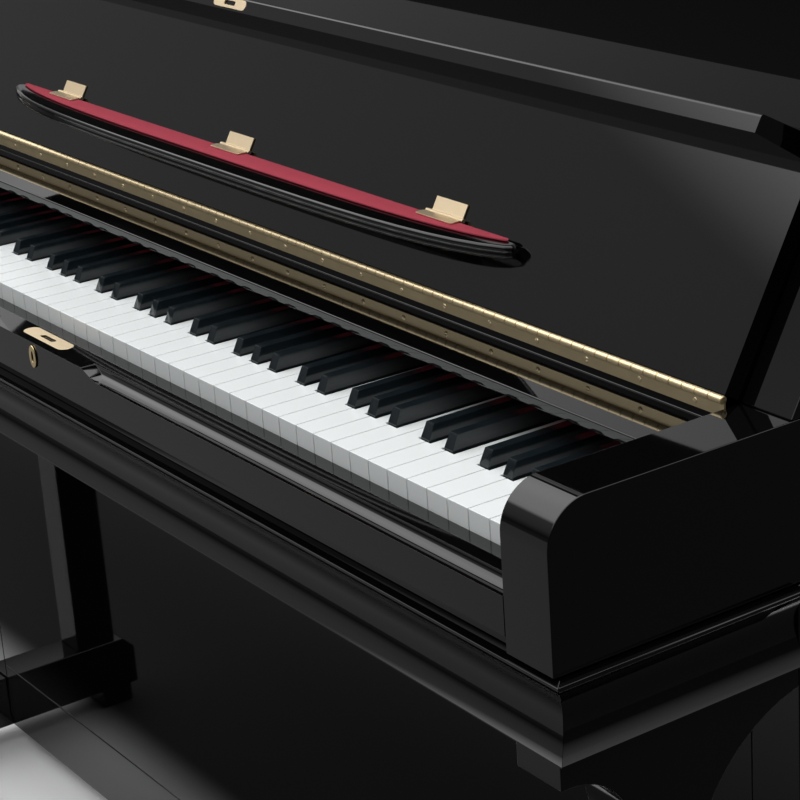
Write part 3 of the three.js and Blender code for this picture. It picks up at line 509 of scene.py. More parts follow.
@dataclass
class Workshop:
    """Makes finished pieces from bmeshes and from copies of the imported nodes."""

    nodes: dict[str, bpy.types.Object]
    body_of: dict[str, str]
    palette: Palette = field(default_factory=Palette)
    joined_within: float = 0.001 * MM
    flat_within: float = math.radians(0.4)
    flats_weight: int = 90

    def paint(self, finish: Finish, *names: str) -> None:
        """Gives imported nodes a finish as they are.

        Args:
            finish: the finish.
            *names: the nodes.
        """
        for name in names:
            node = self.nodes[name]
            node.data.materials.clear()
            node.data.materials.append(self.palette.material(finish))

    def copy_of(self, name: str) -> bmesh.types.BMesh:
        """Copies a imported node's mesh as one joined shell with flat faces whole.

        Args:
            name: the node.

        Returns:
            The copy.
        """
        bm = bmesh.new()
        bm.from_mesh(self.nodes[name].data)
        bmesh.ops.remove_doubles(bm, verts=bm.verts, dist=self.joined_within)
        bmesh.ops.dissolve_limit(bm, angle_limit=self.flat_within, verts=bm.verts, edges=bm.edges)
        bmesh.ops.recalc_face_normals(bm, faces=bm.faces)
        return bm

    @staticmethod
    def soften(
        bm: bmesh.types.BMesh,
        wide: float,
        sharper_than: float = 35.0,
        segments: int = 3,
        choose: Callable[[bmesh.types.BMEdge], bool] | None = None,
    ) -> None:
        """Rounds the sharp edges.

        Args:
            bm: the mesh.
            wide: width of the rounding.
            sharper_than: smallest angle in degrees between two faces whose edge is rounded.
            segments: facets across the rounding.
            choose: picks edges, or None for all of them.
        """
        limit = math.radians(sharper_than)
        edges = [
            e
            for e in bm.edges
            if e.is_manifold and e.calc_face_angle(0.0) > limit and (choose is None or choose(e))
        ]
        bmesh.ops.bevel(
            bm,
            geom=edges,
            offset=wide,
            offset_type="OFFSET",
            affect="EDGES",
            segments=segments,
            profile=0.5,
            material=-1,
            clamp_overlap=True,
        )

    def finished(
        self,
        name: str,
        bm: bmesh.types.BMesh,
        finish: Finish,
        body: str,
        replaces: Sequence[str] = (),
        crease: float = 40.0,
        weighted: bool = True,
    ) -> bpy.types.Object:
        """Turns a bmesh into a finished piece that rides on a body.

        Args:
            name: the piece's name.
            bm: its mesh, which is freed.
            finish: its finish.
            body: the body it moves with.
            replaces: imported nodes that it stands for.
            crease: angle in degrees above which an edge stays sharp.
            weighted: whether large faces keep their flat shading beside rounded edges.

        Returns:
            The piece.
        """
        mesh = bpy.data.meshes.new(name)
        bm.to_mesh(mesh)
        bm.free()
        mesh.shade_smooth()
        mesh.set_sharp_from_angle(angle=math.radians(crease))
        mesh.materials.append(self.palette.material(finish))
        piece = bpy.data.objects.new(name, mesh)
        bpy.context.scene.collection.objects.link(piece)
        if weighted:
            modifier = piece.modifiers.new("flats", "WEIGHTED_NORMAL")
            modifier.keep_sharp = True
            modifier.weight = self.flats_weight
        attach(piece, body)
        if replaces:
            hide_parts(*replaces)
        return piece

    def rounded(
        self,
        name: str,
        finish: Finish,
        wide: float,
        segments: int = 3,
        choose: Callable[[bmesh.types.BMEdge], bool] | None = None,
        weighted: bool = True,
    ) -> bpy.types.Object:
        """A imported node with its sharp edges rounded.

        Args:
            name: the node.
            finish: its finish.
            wide: width of the rounding.
            segments: facets across the rounding.
            choose: picks edges, or None for all of them.
            weighted: whether large faces keep their flat shading beside rounded edges.

        Returns:
            The piece that stands for the node.
        """
        bm = self.copy_of(name)
        self.soften(bm, wide, segments=segments, choose=choose)
        return self.finished(
            f"{name}_finished", bm, finish, self.body_of[name], [name], weighted=weighted,
        )


def bar(points: Sequence[tuple[float, float]], left: float, right: float) -> bmesh.types.BMesh:
    """A bar along the keyboard.

    Args:
        points: the corners of its end, each the place from front to back and the height.
        left: its bass end.
        right: its treble end.

    Returns:
        The closed solid.
    """
    bm = bmesh.new()
    bm.faces.new([bm.verts.new((left, y, z)) for y, z in points])
    made = bmesh.ops.extrude_face_region(bm, geom=bm.faces[:])
    moved = [v for v in made["geom"] if isinstance(v, bmesh.types.BMVert)]
    bmesh.ops.translate(bm, vec=(right - left, 0, 0), verts=moved)
    bmesh.ops.recalc_face_normals(bm, faces=bm.faces)
    return bm


def arc(
    middle: tuple[float, float], radius: float, start: float, end: float, steps: int,
) -> list[tuple[float, float]]:
    """Points on an arc.

    Args:
        middle: its centre.
        radius: its radius.
        start: first angle in degrees.
        end: last angle in degrees.
        steps: number of stretches.

    Returns:
        The points, ends included.
    """
    turns = [math.radians(start + (end - start) * i / steps) for i in range(steps + 1)]
    return [(middle[0] + radius * math.cos(t), middle[1] + radius * math.sin(t)) for t in turns]


def slab(left: float, right: float, front: float, rear: float, under: float, top: float) -> bmesh.types.BMesh:
    """A rectangular bar.

    Args:
        left: its bass end.
        right: its treble end.
        front: its front face.
        rear: its rear face.
        under: its lower face.
        top: its upper face.

    Returns:
        The bar.
    """
    bm = bmesh.new()
    bmesh.ops.create_cube(bm, size=1.0)
    middle = Vector((left + right, front + rear, under + top)) / 2
    size = Matrix.Diagonal((right - left, rear - front, top - under, 1))
    bmesh.ops.transform(bm, matrix=Matrix.Translation(middle) @ size, verts=bm.verts)
    return bm


def merge_into(bm: bmesh.types.BMesh, other: bmesh.types.BMesh) -> None:
    """Adds another bmesh's shells and frees it.

    Args:
        bm: what they are added to.
        other: what is added.
    """
    mesh = bpy.data.meshes.new("passing")
    other.to_mesh(mesh)
    other.free()
    bm.from_mesh(mesh)
    bpy.data.meshes.remove(mesh)


# ---- Case ---------------------------------------------------------------------------------------


@dataclass
class Casework:
    """The polished case: sides, arms, slip, mouldings, legs, panels and lid."""

    shop: Workshop
    fine_edge: float = 0.5 * MM
    moulding_edge: float = 0.9 * MM
    plain_edge: float = 1.2 * MM
    lid_edge: float = 2.0 * MM
    lip_high: float = 0.5 * MM
    cover_gap: float = 0.4 * MM
    cover_rise: float = 2.0 * MM
    cover_thick: float = 16.0 * MM
    cover_rebate: float = 3.0 * MM
    cover_tuck: float = 18.0 * MM

    def build(self) -> None:
        """Rounds and polishes the case's nodes."""
        for end in ("bass", "treble"):
            self.polished(self.plain_edge, f"side_panel_{end}", f"arm_{end}", f"key_block_{end}")
            self.moulding(f"keybed_moulding_{end}")
            self.polished(self.plain_edge, f"leg_{end}")
            self.polished(self.lid_edge, f"toe_{end}")
        self.moulding("keybed_moulding_front")
        self.polished(self.fine_edge, "key_slip")
        self.polished(self.plain_edge, "name_rail", "lower_panel", "bottom_rail", "upper_panel")
        self.polished(self.lid_edge, "lid", "lid_rear_rail")
        self.shop.paint(EBONY, "keybed")
        self.cover_rail()

    def polished(self, wide: float, *names: str) -> None:
        """Rounds nodes of the case and gives them their black polish.

        Args:
            wide: width of the rounding.
            *names: the nodes.
        """
        for name in names:
            self.shop.rounded(name, EBONY, wide)

    def cover_rail(self) -> None:
        """The fixed rail behind the long hinge, over the keys' rear ends and up to the upper panel."""
        rail_low, rail_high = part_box("name_rail")
        panel_low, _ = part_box("upper_panel")
        front = rail_high.y + self.cover_gap
        rebate = panel_low.y + self.cover_rebate
        rear = panel_low.y + self.cover_tuck
        top = rail_high.z + self.cover_rise
        under = top - self.cover_thick
        head = panel_low.z - self.cover_gap
        outline = ((front, under), (rear, under), (rear, head), (rebate, head), (rebate, top), (front, top))
        bm = bar(outline, rail_low.x, rail_high.x)
        self.shop.soften(bm, self.fine_edge)
        self.shop.finished("cover_rail", bm, EBONY, "case")

    def moulding(self, name: str) -> None:
        """One bar of the cove moulding, its upper lip rounded and its foot left crisp.

        Args:
            name: the bar's node.
        """
        _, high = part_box(name)
        lip = high.z - self.lip_high
        self.shop.rounded(
            name, EBONY, self.moulding_edge, choose=lambda e: all(v.co.z > lip for v in e.verts),
            weighted=False,
        )


# ---- Keyboard -----------------------------------------------------------------------------------


NATURALS = tuple(f"key_{note}4" for note in "cdefgab")


@dataclass
class Keyboard:
    """White and black keys, the moving octave included, with the felt behind them."""

    shop: Workshop
    white_edge: float = 0.7 * MM
    sharp_edge: float = 1.1 * MM
    sharp_edge_from: float = 28.0
    sharp_foot_edge: float = 0.4 * MM
    sharp_foot_drop: float = 2 * MM
    sharp_taper: float = 0.84
    felt_edge: float = 0.4 * MM

    def build(self) -> None:
        """Finishes every key node."""
        for name in self.shop.nodes:
            if name.startswith("black_keys") or (name.startswith("key_") and name.endswith("_sharp")):
                self.sharp(name)
            elif name.startswith("white_keys") or name in NATURALS:
                self.shop.rounded(name, IVORY, self.white_edge)
        self.shop.paint(SPRUCE, "key_frame")
        # the name felt gets the brightened red felt, painted light that makes up for the shade it sits in
        felt = self.shop.rounded("name_felt", NAME_FELT_PAINTED_LIGHT, self.felt_edge, 2)

    def sharp(self, name: str) -> None:
        """Finishes a node of black keys: tops narrower than their feet, and round edges.

        Args:
            name: the node.
        """
        bm = self.shop.copy_of(name)
        top = max(v.co.z for v in bm.verts)
        for face in bm.faces:
            corners = face.verts
            if all(abs(v.co.z - top) < SAME_PLACE for v in corners):
                middle = face.calc_center_median()
                shrink = Matrix.Translation(middle) @ Matrix.Diagonal((self.sharp_taper, 1, 1, 1))
                bmesh.ops.transform(bm, matrix=shrink @ Matrix.Translation(-middle), verts=corners)
        foot = top - self.sharp_foot_drop
        self.shop.soften(bm, self.sharp_foot_edge, segments=2, choose=lambda e: self.below(e, foot))
        self.shop.soften(
            bm, self.sharp_edge, sharper_than=self.sharp_edge_from, choose=lambda e: not self.below(e, foot),
        )
        self.shop.finished(f"{name}_finished", bm, SHARP, self.shop.body_of[name], [name])

    @staticmethod
    def below(edge: bmesh.types.BMEdge, height: float) -> bool:
        """Whether an edge lies wholly under a height."""
        return all(v.co.z < height for v in edge.verts)


# ---- Fallboard and its long hinge ---------------------------------------------------------------


@dataclass
class FallboardSet:
    """The fallboard with its strike plate, and the long hinge with knuckles and screws."""

    shop: Workshop
    board_edge: float = 0.9 * MM
    plate_edge: float = 0.25 * MM
    knuckle: float = 13 * MM
    knuckle_gap: float = 0.5 * MM
    knuckle_edge: float = 0.3 * MM
    pin_share: float = 0.8
    leaf_thick: float = 1.7 * MM
    screw_pitch: float = 56 * MM
    screw_radius: float = 2.3 * MM

    def build(self) -> None:
        """Builds the set."""
        self.shop.rounded("fallboard", EBONY, self.board_edge)
        self.shop.rounded("lock_strike", SATIN_BRASS, self.plate_edge, 2)
        self.long_hinge()

    def long_hinge(self) -> None:
        """A barrel of knuckles, and a leaf that hangs from it in front with countersunk screws."""
        low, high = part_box("fallboard_hinge")
        wide = high.x - low.x
        radius = (high.y - low.y) / 2
        axis = Vector(((low.x + high.x) / 2, low.y + radius, high.z - radius))
        count = round(wide / self.knuckle)
        pitch = wide / count
        bm = bmesh.new()
        for i in range(count):
            place = Vector((low.x + (i + 0.5) * pitch, axis.y, axis.z))
            self.round_bar(bm, radius, pitch - self.knuckle_gap, place, 16)
        self.shop.soften(
            bm, self.knuckle_edge, segments=1, choose=lambda e: any(len(f.verts) > 4 for f in e.link_faces),
        )
        self.round_bar(bm, radius * self.pin_share, wide, axis, 12)
        rear = axis.y + self.leaf_thick
        leaf = bar([(axis.y, low.z), (rear, low.z), (rear, axis.z), (axis.y, axis.z)], low.x, high.x)
        self.shop.soften(leaf, self.knuckle_edge, segments=2)
        merge_into(bm, leaf)
        screws = round(wide / self.screw_pitch)
        screw_z = (low.z + axis.z - radius) / 2
        for i in range(screws):
            place = Vector((low.x + (i + 0.5) * wide / screws, axis.y, screw_z))
            merge_into(bm, slotted_screw(self.screw_radius, place, Vector((0, -1, 0)), i))
        self.shop.finished("fallboard_hinge_finished", bm, HINGE_BRASS, "case", ["fallboard_hinge"])

    @staticmethod
    def round_bar(bm: bmesh.types.BMesh, radius: float, long: float, middle: Vector, sides: int) -> None:
        """Adds a round bar that lies along the keyboard.

        Args:
            bm: what it is added to.
            radius: its radius.
            long: its length.
            middle: its middle.
            sides: its facets.
        """
        made = bmesh.ops.create_cone(
            bm, cap_ends=True, segments=sides, radius1=radius, radius2=radius, depth=long,
        )
        lie = Matrix.Rotation(math.pi / 2, 4, "Y")
        bmesh.ops.transform(bm, matrix=Matrix.Translation(middle) @ lie, verts=made["verts"])


SCREW_DOME = 0.28  # of a screw head's radius
SLOT_HALF = 0.2
SLOT_DEEP = 0.16
SLOT_TURN = 1.1  # radians from one screw's slot to the next one's


def slotted_screw(radius: float, place: Vector, facing: Vector, turn: int) -> bmesh.types.BMesh:
    """A raised countersunk screw head with a slot.

    Args:
        radius: the head's radius.
        place: the middle of its rim.
        facing: the way the head faces.
        turn: picks the slot's direction.

    Returns:
        The head.
    """
    bm = bmesh.new()
    dome = bmesh.ops.create_uvsphere(bm, u_segments=16, v_segments=8, radius=radius)
    bmesh.ops.scale(bm, vec=(1, 1, SCREW_DOME), verts=dome["verts"])
    slot = [v for v in bm.verts if abs(v.co.y) < radius * SLOT_HALF and v.co.z > 0]
    bmesh.ops.translate(bm, vec=(0, 0, -radius * SLOT_DEEP), verts=slot)
    swing = Matrix.Rotation(turn * SLOT_TURN, 4, "Z")
    face = facing.to_track_quat("Z", "Y").to_matrix().to_4x4()
    bmesh.ops.transform(bm, matrix=Matrix.Translation(place) @ face @ swing, verts=bm.verts)
    return bm


# ---- Music shelf --------------------------------------------------------------------------------


@dataclass
class MusicShelf:
    """The folding shelf with a double bead along its lip, its felt and its three hinges."""

    shop: Workshop
    lip_round: float = 2.8 * MM
    groove_deep: float = 0.9 * MM
    groove_half: float = 0.8 * MM
    groove_stop: float = 12 * MM
    felt_edge: float = 0.3 * MM
    felt_bow: float = 0.8
    leaf_corner: float = 2.5 * MM
    leaf_thickest: float = 1.6 * MM
    leaf_rim: float = 0.2 * MM
    barrel_edge: float = 0.25 * MM
    leaf_rim_from: float = 60.0
    lip_crease: float = 50.0
    looks_outward: float = 0.99
    screw_radius: float = 1.9 * MM
    screw_sunk: float = 0.42 * MM
    screw_spread: float = 15 * MM
    lean: float = 30.0

    def build(self) -> None:
        """Finishes the shelf, its felt and its hinges."""
        self.board()
        felt = self.shop.rounded("shelf_felt", RED_FELT, self.felt_edge, 2)
        for i in (1, 2, 3):
            self.shelf_leaf(i)
            self.board_leaf(i)

    def board(self) -> None:
        """The shelf, with a groove between the two beads of its lip."""
        bm = self.shop.copy_of("music_shelf")
        self.shop.soften(bm, self.lip_round, segments=4)
        low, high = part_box("music_shelf")
        middle = (low.z + high.z) / 2
        for z in (middle - self.groove_half, middle, middle + self.groove_half):
            geometry = bm.verts[:] + bm.edges[:] + bm.faces[:]
            bmesh.ops.bisect_plane(bm, geom=geometry, plane_co=(0, 0, z), plane_no=(0, 0, 1))
        rear = high.y - self.groove_stop
        groove = [v for v in bm.verts if abs(v.co.z - middle) < SAME_PLACE and v.co.y < rear]
        bmesh.ops.translate(bm, vec=(0, self.groove_deep, 0), verts=groove)
        self.shop.finished(
            "music_shelf_finished", bm, EBONY, "music_shelf", ["music_shelf"], crease=self.lip_crease,
        )

    def thin_corners(self, bm: bmesh.types.BMesh) -> None:
        """Rounds a plate's corners as seen from its broad side, then its rims.

        Args:
            bm: the plate.
        """
        self.shop.soften(bm, self.leaf_corner, segments=4, choose=self.at_corner)
        self.shop.soften(bm, self.leaf_rim, sharper_than=self.leaf_rim_from, segments=2)

    def at_corner(self, edge: bmesh.types.BMEdge) -> bool:
        """Whether an edge runs through the plate's thickness."""
        first, last = edge.verts
        return edge.calc_length() < self.leaf_thickest and abs(first.co.x - last.co.x) < SAME_PLACE

    def screws(self, bm: bmesh.types.BMesh, middle: Vector, facing: Vector, turn: int) -> None:
        """Adds a row of three sunk screws.

        Args:
            bm: the leaf.
            middle: the row's middle, on the leaf's face.
            facing: the way the heads face.
            turn: picks the first slot's direction.
        """
        for step, along in enumerate((-self.screw_spread, 0.0, self.screw_spread)):
            place = middle + Vector((along, 0, 0)) - self.screw_sunk * facing
            merge_into(bm, slotted_screw(self.screw_radius, place, facing, turn + step))

    def shelf_leaf(self, index: int) -> None:
        """The leaf that lies on the shelf's felt.

        Args:
            index: the hinge's number.
        """
        name = f"shelf_leaf_{index}"
        bm = self.shop.copy_of(name)
        self.thin_corners(bm)
        low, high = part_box(name)
        middle = Vector(((low.x + high.x) / 2, (low.y + high.y) / 2, high.z))
        self.screws(bm, middle, Vector((0, 0, 1)), index)
        self.shop.finished(f"{name}_finished", bm, SATIN_BRASS, "music_shelf", [name])

    def board_leaf(self, index: int) -> None:
        """The leaf and barrel on the fallboard.

        Args:
            index: the hinge's number.
        """
        name = f"shelf_hinge_{index}"
        bm = self.shop.copy_of(name)
        self.shop.soften(bm, self.barrel_edge, segments=2)
        low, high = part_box(name)
        lean = math.radians(self.lean)
        facing = Vector((0, -math.cos(lean), math.sin(lean)))
        outward = [f for f in bm.faces if f.normal.dot(facing) > self.looks_outward]
        face = max(outward, key=lambda f: f.calc_area())
        on_face = face.calc_center_median()
        self.screws(bm, Vector(((low.x + high.x) / 2, on_face.y, on_face.z)), facing, index + 1)
        self.shop.finished(f"{name}_finished", bm, SATIN_BRASS, "fallboard", [name])


# ---- Lock, pedals and inside --------------------------------------------------------------------


@dataclass
class Fittings:
    """Lock furniture and pedals."""

    shop: Workshop
    plate_edge: float = 0.25 * MM
    escutcheon_edge: float = 0.4 * MM
    pedal_edge: float = 2.5 * MM

    def build(self) -> None:
        """Finishes the fittings."""
        self.shop.rounded("lock_plate", SATIN_BRASS, self.plate_edge, 2)
        self.shop.rounded("lock_escutcheon", BRASS, self.escutcheon_edge, 2)
        for use in ("soft", "practice", "sustain"):
            self.shop.rounded(f"pedal_{use}", BRASS, self.pedal_edge, 4)


@dataclass
class Action:
    """The action over the keys' rear ends: rails, brackets and upright felt hammers."""

    shop: Workshop
    hammers: int = 88
    rail_high: float = 30 * MM
    rail_deep: float = 15 * MM
    rest_rail_span: tuple[float, float] = (18 * MM, 40 * MM)
    rest_rail_drop: tuple[float, float] = (14 * MM, 2 * MM)
    bracket: float = 12 * MM
    bracket_drop: float = 1 * MM
    frame_edge: float = 1.0 * MM
    end_room: float = 5 * MM
    shank_radius: float = 2.4 * MM
    shank_tip: float = 0.9
    shank_rise: float = 84 * MM
    shank_sunk: float = 3 * MM
    shank_behind_rail: float = 14 * MM
    head_thick: float = 9 * MM
    core_edge: float = 0.5 * MM
    felt_inset: float = 0.3 * MM
    felt_round: float = 7 * MM
    felt_turn: float = 100.0
    felt_middle: float = 18 * MM
    # corners in millimetres behind the shank's axis and above the head's middle
    core_corners: tuple[tuple[float, float], ...] = ((-5, -5), (14, -2), (14, 2), (-5, 6))
    felt_flanks: tuple[tuple[float, float], ...] = (
        (-2, 9.5), (-2, 6.5), (15, 2.6), (15, -2.6), (-2, -5.5), (-2, -9.5),
    )

    def build(self) -> None:
        """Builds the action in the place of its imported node."""
        low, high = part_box("action")
        self.frame(low, high)
        shanks, cores, heads = bmesh.new(), bmesh.new(), bmesh.new()
        first = low.x + self.bracket + self.end_room
        pitch = (high.x - low.x - 2 * (self.bracket + self.end_room)) / self.hammers
        foot = high.z - self.shank_sunk
        stand = low.y + self.rail_deep + self.shank_behind_rail
        for i in range(self.hammers):
            x = first + (i + 0.5) * pitch
            self.shank(shanks, x, stand, foot)
            merge_into(cores, self.head_core(x, stand, foot + self.shank_rise))
            merge_into(heads, self.head_felt(x, stand, foot + self.shank_rise))
        self.shop.finished("hammer_shanks", shanks, ACTION_WOOD, "case", weighted=False)
        self.shop.finished("hammer_cores", cores, SPRUCE, "case")
        self.shop.finished("hammer_felts", heads, WHITE_FELT, "case", weighted=False)

    def frame(self, low: Vector, high: Vector) -> None:
        """The main rail on its brackets, with the rail that the hammers rest on.

        Args:
            low: lowest corner of the action.
            high: highest corner of the action.
        """
        bm = bmesh.new()
        rail_rear, rail_under = low.y + self.rail_deep, high.z - self.rail_high
        rest_front, rest_rear = (low.y + back for back in self.rest_rail_span)
        rest_under, rest_top = (high.z - drop for drop in self.rest_rail_drop)
        merge_into(bm, slab(low.x, high.x, low.y, rail_rear, rail_under, high.z - self.rail_high / 2))
        merge_into(bm, slab(low.x, high.x, rest_front, rest_rear, rest_under, rest_top))
        for x in (low.x, high.x - self.bracket):
            merge_into(bm, slab(x, x + self.bracket, low.y, rail_rear, low.z, high.z - self.bracket_drop))
        self.shop.soften(bm, self.frame_edge, segments=2)
        self.shop.finished("action_finished", bm, ACTION_WOOD, "case", ["action"])

    def shank(self, bm: bmesh.types.BMesh, x: float, y: float, foot: float) -> None:
        """Adds one round shank.

        Args:
            bm: the shanks.
            x: its place along the keyboard.
            y: its place from front to back.
            foot: its lower end.
        """
        made = bmesh.ops.create_cone(
            bm, cap_ends=True, segments=8, radius1=self.shank_radius,
            radius2=self.shank_radius * self.shank_tip, depth=self.shank_rise,
        )
        bmesh.ops.translate(bm, vec=(x, y, foot + self.shank_rise / 2), verts=made["verts"])

    def head_core(self, x: float, y: float, z: float) -> bmesh.types.BMesh:
        """The wooden core of a hammer head, which points at the strings.

        Args:
            x: its place along the keyboard.
            y: the shank's place from front to back.
            z: the height of its middle.

        Returns:
            The core.
        """
        half = self.head_thick / 2
        corners = [(y + back * MM, z + up * MM) for back, up in self.core_corners]
        bm = bar(corners, x - half, x + half)
        self.shop.soften(bm, self.core_edge, segments=1)
        return bm

    def head_felt(self, x: float, y: float, z: float) -> bmesh.types.BMesh:
        """The felt of a hammer head, pear-shaped and wrapped round its core's tip.

        Args:
            x: its place along the keyboard.
            y: the shank's place from front to back.
            z: the height of its middle.

        Returns:
            The felt.
        """
        half = self.head_thick / 2 - self.felt_inset
        tip = arc((y + self.felt_middle, z), self.felt_round, -self.felt_turn, self.felt_turn, 7)
        flanks = [(y + back * MM, z + up * MM) for back, up in self.felt_flanks]
        return bar(tip + flanks, x - half, x + half)


@dataclass
class StrungBack:
    """Iron plate with tuning pins, strings, ribbed soundboard and back posts."""

    shop: Workshop
    pin_rows: int = 3
    pins_in_row: int = 74
    plate_edge: float = 2.5 * MM
    frame_edge: float = 2.0 * MM
    pin_radius: float = 3.3 * MM
    pin_tip: float = 0.86
    pin_long: float = 15 * MM
    pin_sunk: float = 1 * MM
    pin_margin: float = 30 * MM
    pin_stagger: float = 0.25
    pin_field: tuple[float, float] = (95 * MM, 175 * MM)
    rib_edge: float = 2.0 * MM
    rib_end: float = 1 * MM
    rib_margin: float = 8 * MM
    rib_wide: float = 22 * MM
    rib_deep: float = 11 * MM
    rib_turn: float = 32.0
    rib_pitch: float = 190 * MM
    posts: int = 5
    post_wide: float = 62 * MM
    beam_high: float = 90 * MM

    def build(self) -> None:
        """Finishes what carries the strings."""
        self.shop.rounded("iron_plate", IRON, self.plate_edge, 2)
        self.shop.paint(STEEL, "strings")
        self.shop.paint(SPRUCE, "soundboard")
        self.shop.rounded("back_frame", BACK_TIMBER, self.frame_edge, 2)
        self.tuning_pins()
        self.ribs()

    def tuning_pins(self) -> None:
        """Staggered rows of tuning pins in the plate's head."""
        low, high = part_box("iron_plate")
        bm = bmesh.new()
        pitch = (high.x - low.x - 2 * self.pin_margin) / self.pins_in_row
        y = low.y - self.pin_long / 2 + self.pin_sunk
        towards_player = Matrix.Rotation(math.radians(90), 4, "X")
        first_row, last_row = self.pin_field
        for row in range(self.pin_rows):
            z = high.z - first_row - row / (self.pin_rows - 1) * (last_row - first_row)
            for i in range(self.pins_in_row):
                x = low.x + self.pin_margin + (i + self.pin_stagger * (row + 1)) * pitch
                made = bmesh.ops.create_cone(
                    bm, cap_ends=True, segments=8, radius1=self.pin_radius,
                    radius2=self.pin_radius * self.pin_tip, depth=self.pin_long,
                )
                place = Matrix.Translation((x, y, z)) @ towards_player
                bmesh.ops.transform(bm, matrix=place, verts=made["verts"])
        self.shop.finished("tuning_pins", bm, PIN_STEEL, "case", weighted=False)

    def ribs(self) -> None:
        """Slanted ribs on the soundboard's back, seen between the posts."""
        low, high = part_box("soundboard")
        frame_low, frame_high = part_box("back_frame")
        foot = frame_low.z + self.beam_high + self.rib_margin
        head = min(high.z, frame_high.z - self.beam_high) - self.rib_margin
        pitch = (frame_high.x - frame_low.x - self.post_wide) / (self.posts - 1)
        rise = math.tan(math.radians(self.rib_turn))
        bm = bmesh.new()
        for bay in range(self.posts - 1):
            left = frame_low.x + bay * pitch + self.post_wide + self.rib_end
            right = frame_low.x + (bay + 1) * pitch - self.rib_end
            z = foot - pitch + ((left + right) / 2 - low.x) * rise % self.rib_pitch
            while z < head + pitch:
                merge_into(bm, self.rib(z, (left, right), (foot, head), high.y))
                z += self.rib_pitch
        self.shop.finished("soundboard_ribs", bm, SPRUCE, "case")

    def rib(
        self, z: float, across: tuple[float, float], up: tuple[float, float], rear: float,
    ) -> bmesh.types.BMesh:
        """One bay's stretch of a rib.

        Args:
            z: the rib's height in the bay's middle.
            across: left and right end of the bay.
            up: lower and upper end of the bay.
            rear: the soundboard's back.

        Returns:
            The rib, trimmed to the bay; empty where it lies outside.
        """
        left, right = across
        foot, head = up
        reach = 2 * (right - left)  # long enough to cross the bay on the slant
        bm = bmesh.new()
        bmesh.ops.create_cube(bm, size=1.0)
        size = Matrix.Diagonal((reach, self.rib_deep, self.rib_wide, 1))
        turn = Matrix.Rotation(-math.radians(self.rib_turn), 4, "Y")
        place = Matrix.Translation(((left + right) / 2, rear + self.rib_deep / 2, z))
        bmesh.ops.transform(bm, matrix=place @ turn @ size, verts=bm.verts)
        cuts = (
            ((left, 0, 0), (-1, 0, 0)), ((right, 0, 0), (1, 0, 0)),
            ((0, 0, foot), (0, 0, -1)), ((0, 0, head), (0, 0, 1)),
        )
        for place_on, outward in cuts:
            geometry = bm.verts[:] + bm.edges[:] + bm.faces[:]
            bmesh.ops.bisect_plane(bm, geom=geometry, plane_co=place_on, plane_no=outward, clear_outer=True)
            bmesh.ops.holes_fill(bm, edges=[e for e in bm.edges if e.is_boundary])
        self.shop.soften(
            bm, self.rib_edge, segments=2, choose=lambda e: all(v.co.y > rear + SAME_PLACE for v in e.verts),
        )
        return bm


# ---- Studio -------------------------------------------------------------------------------------


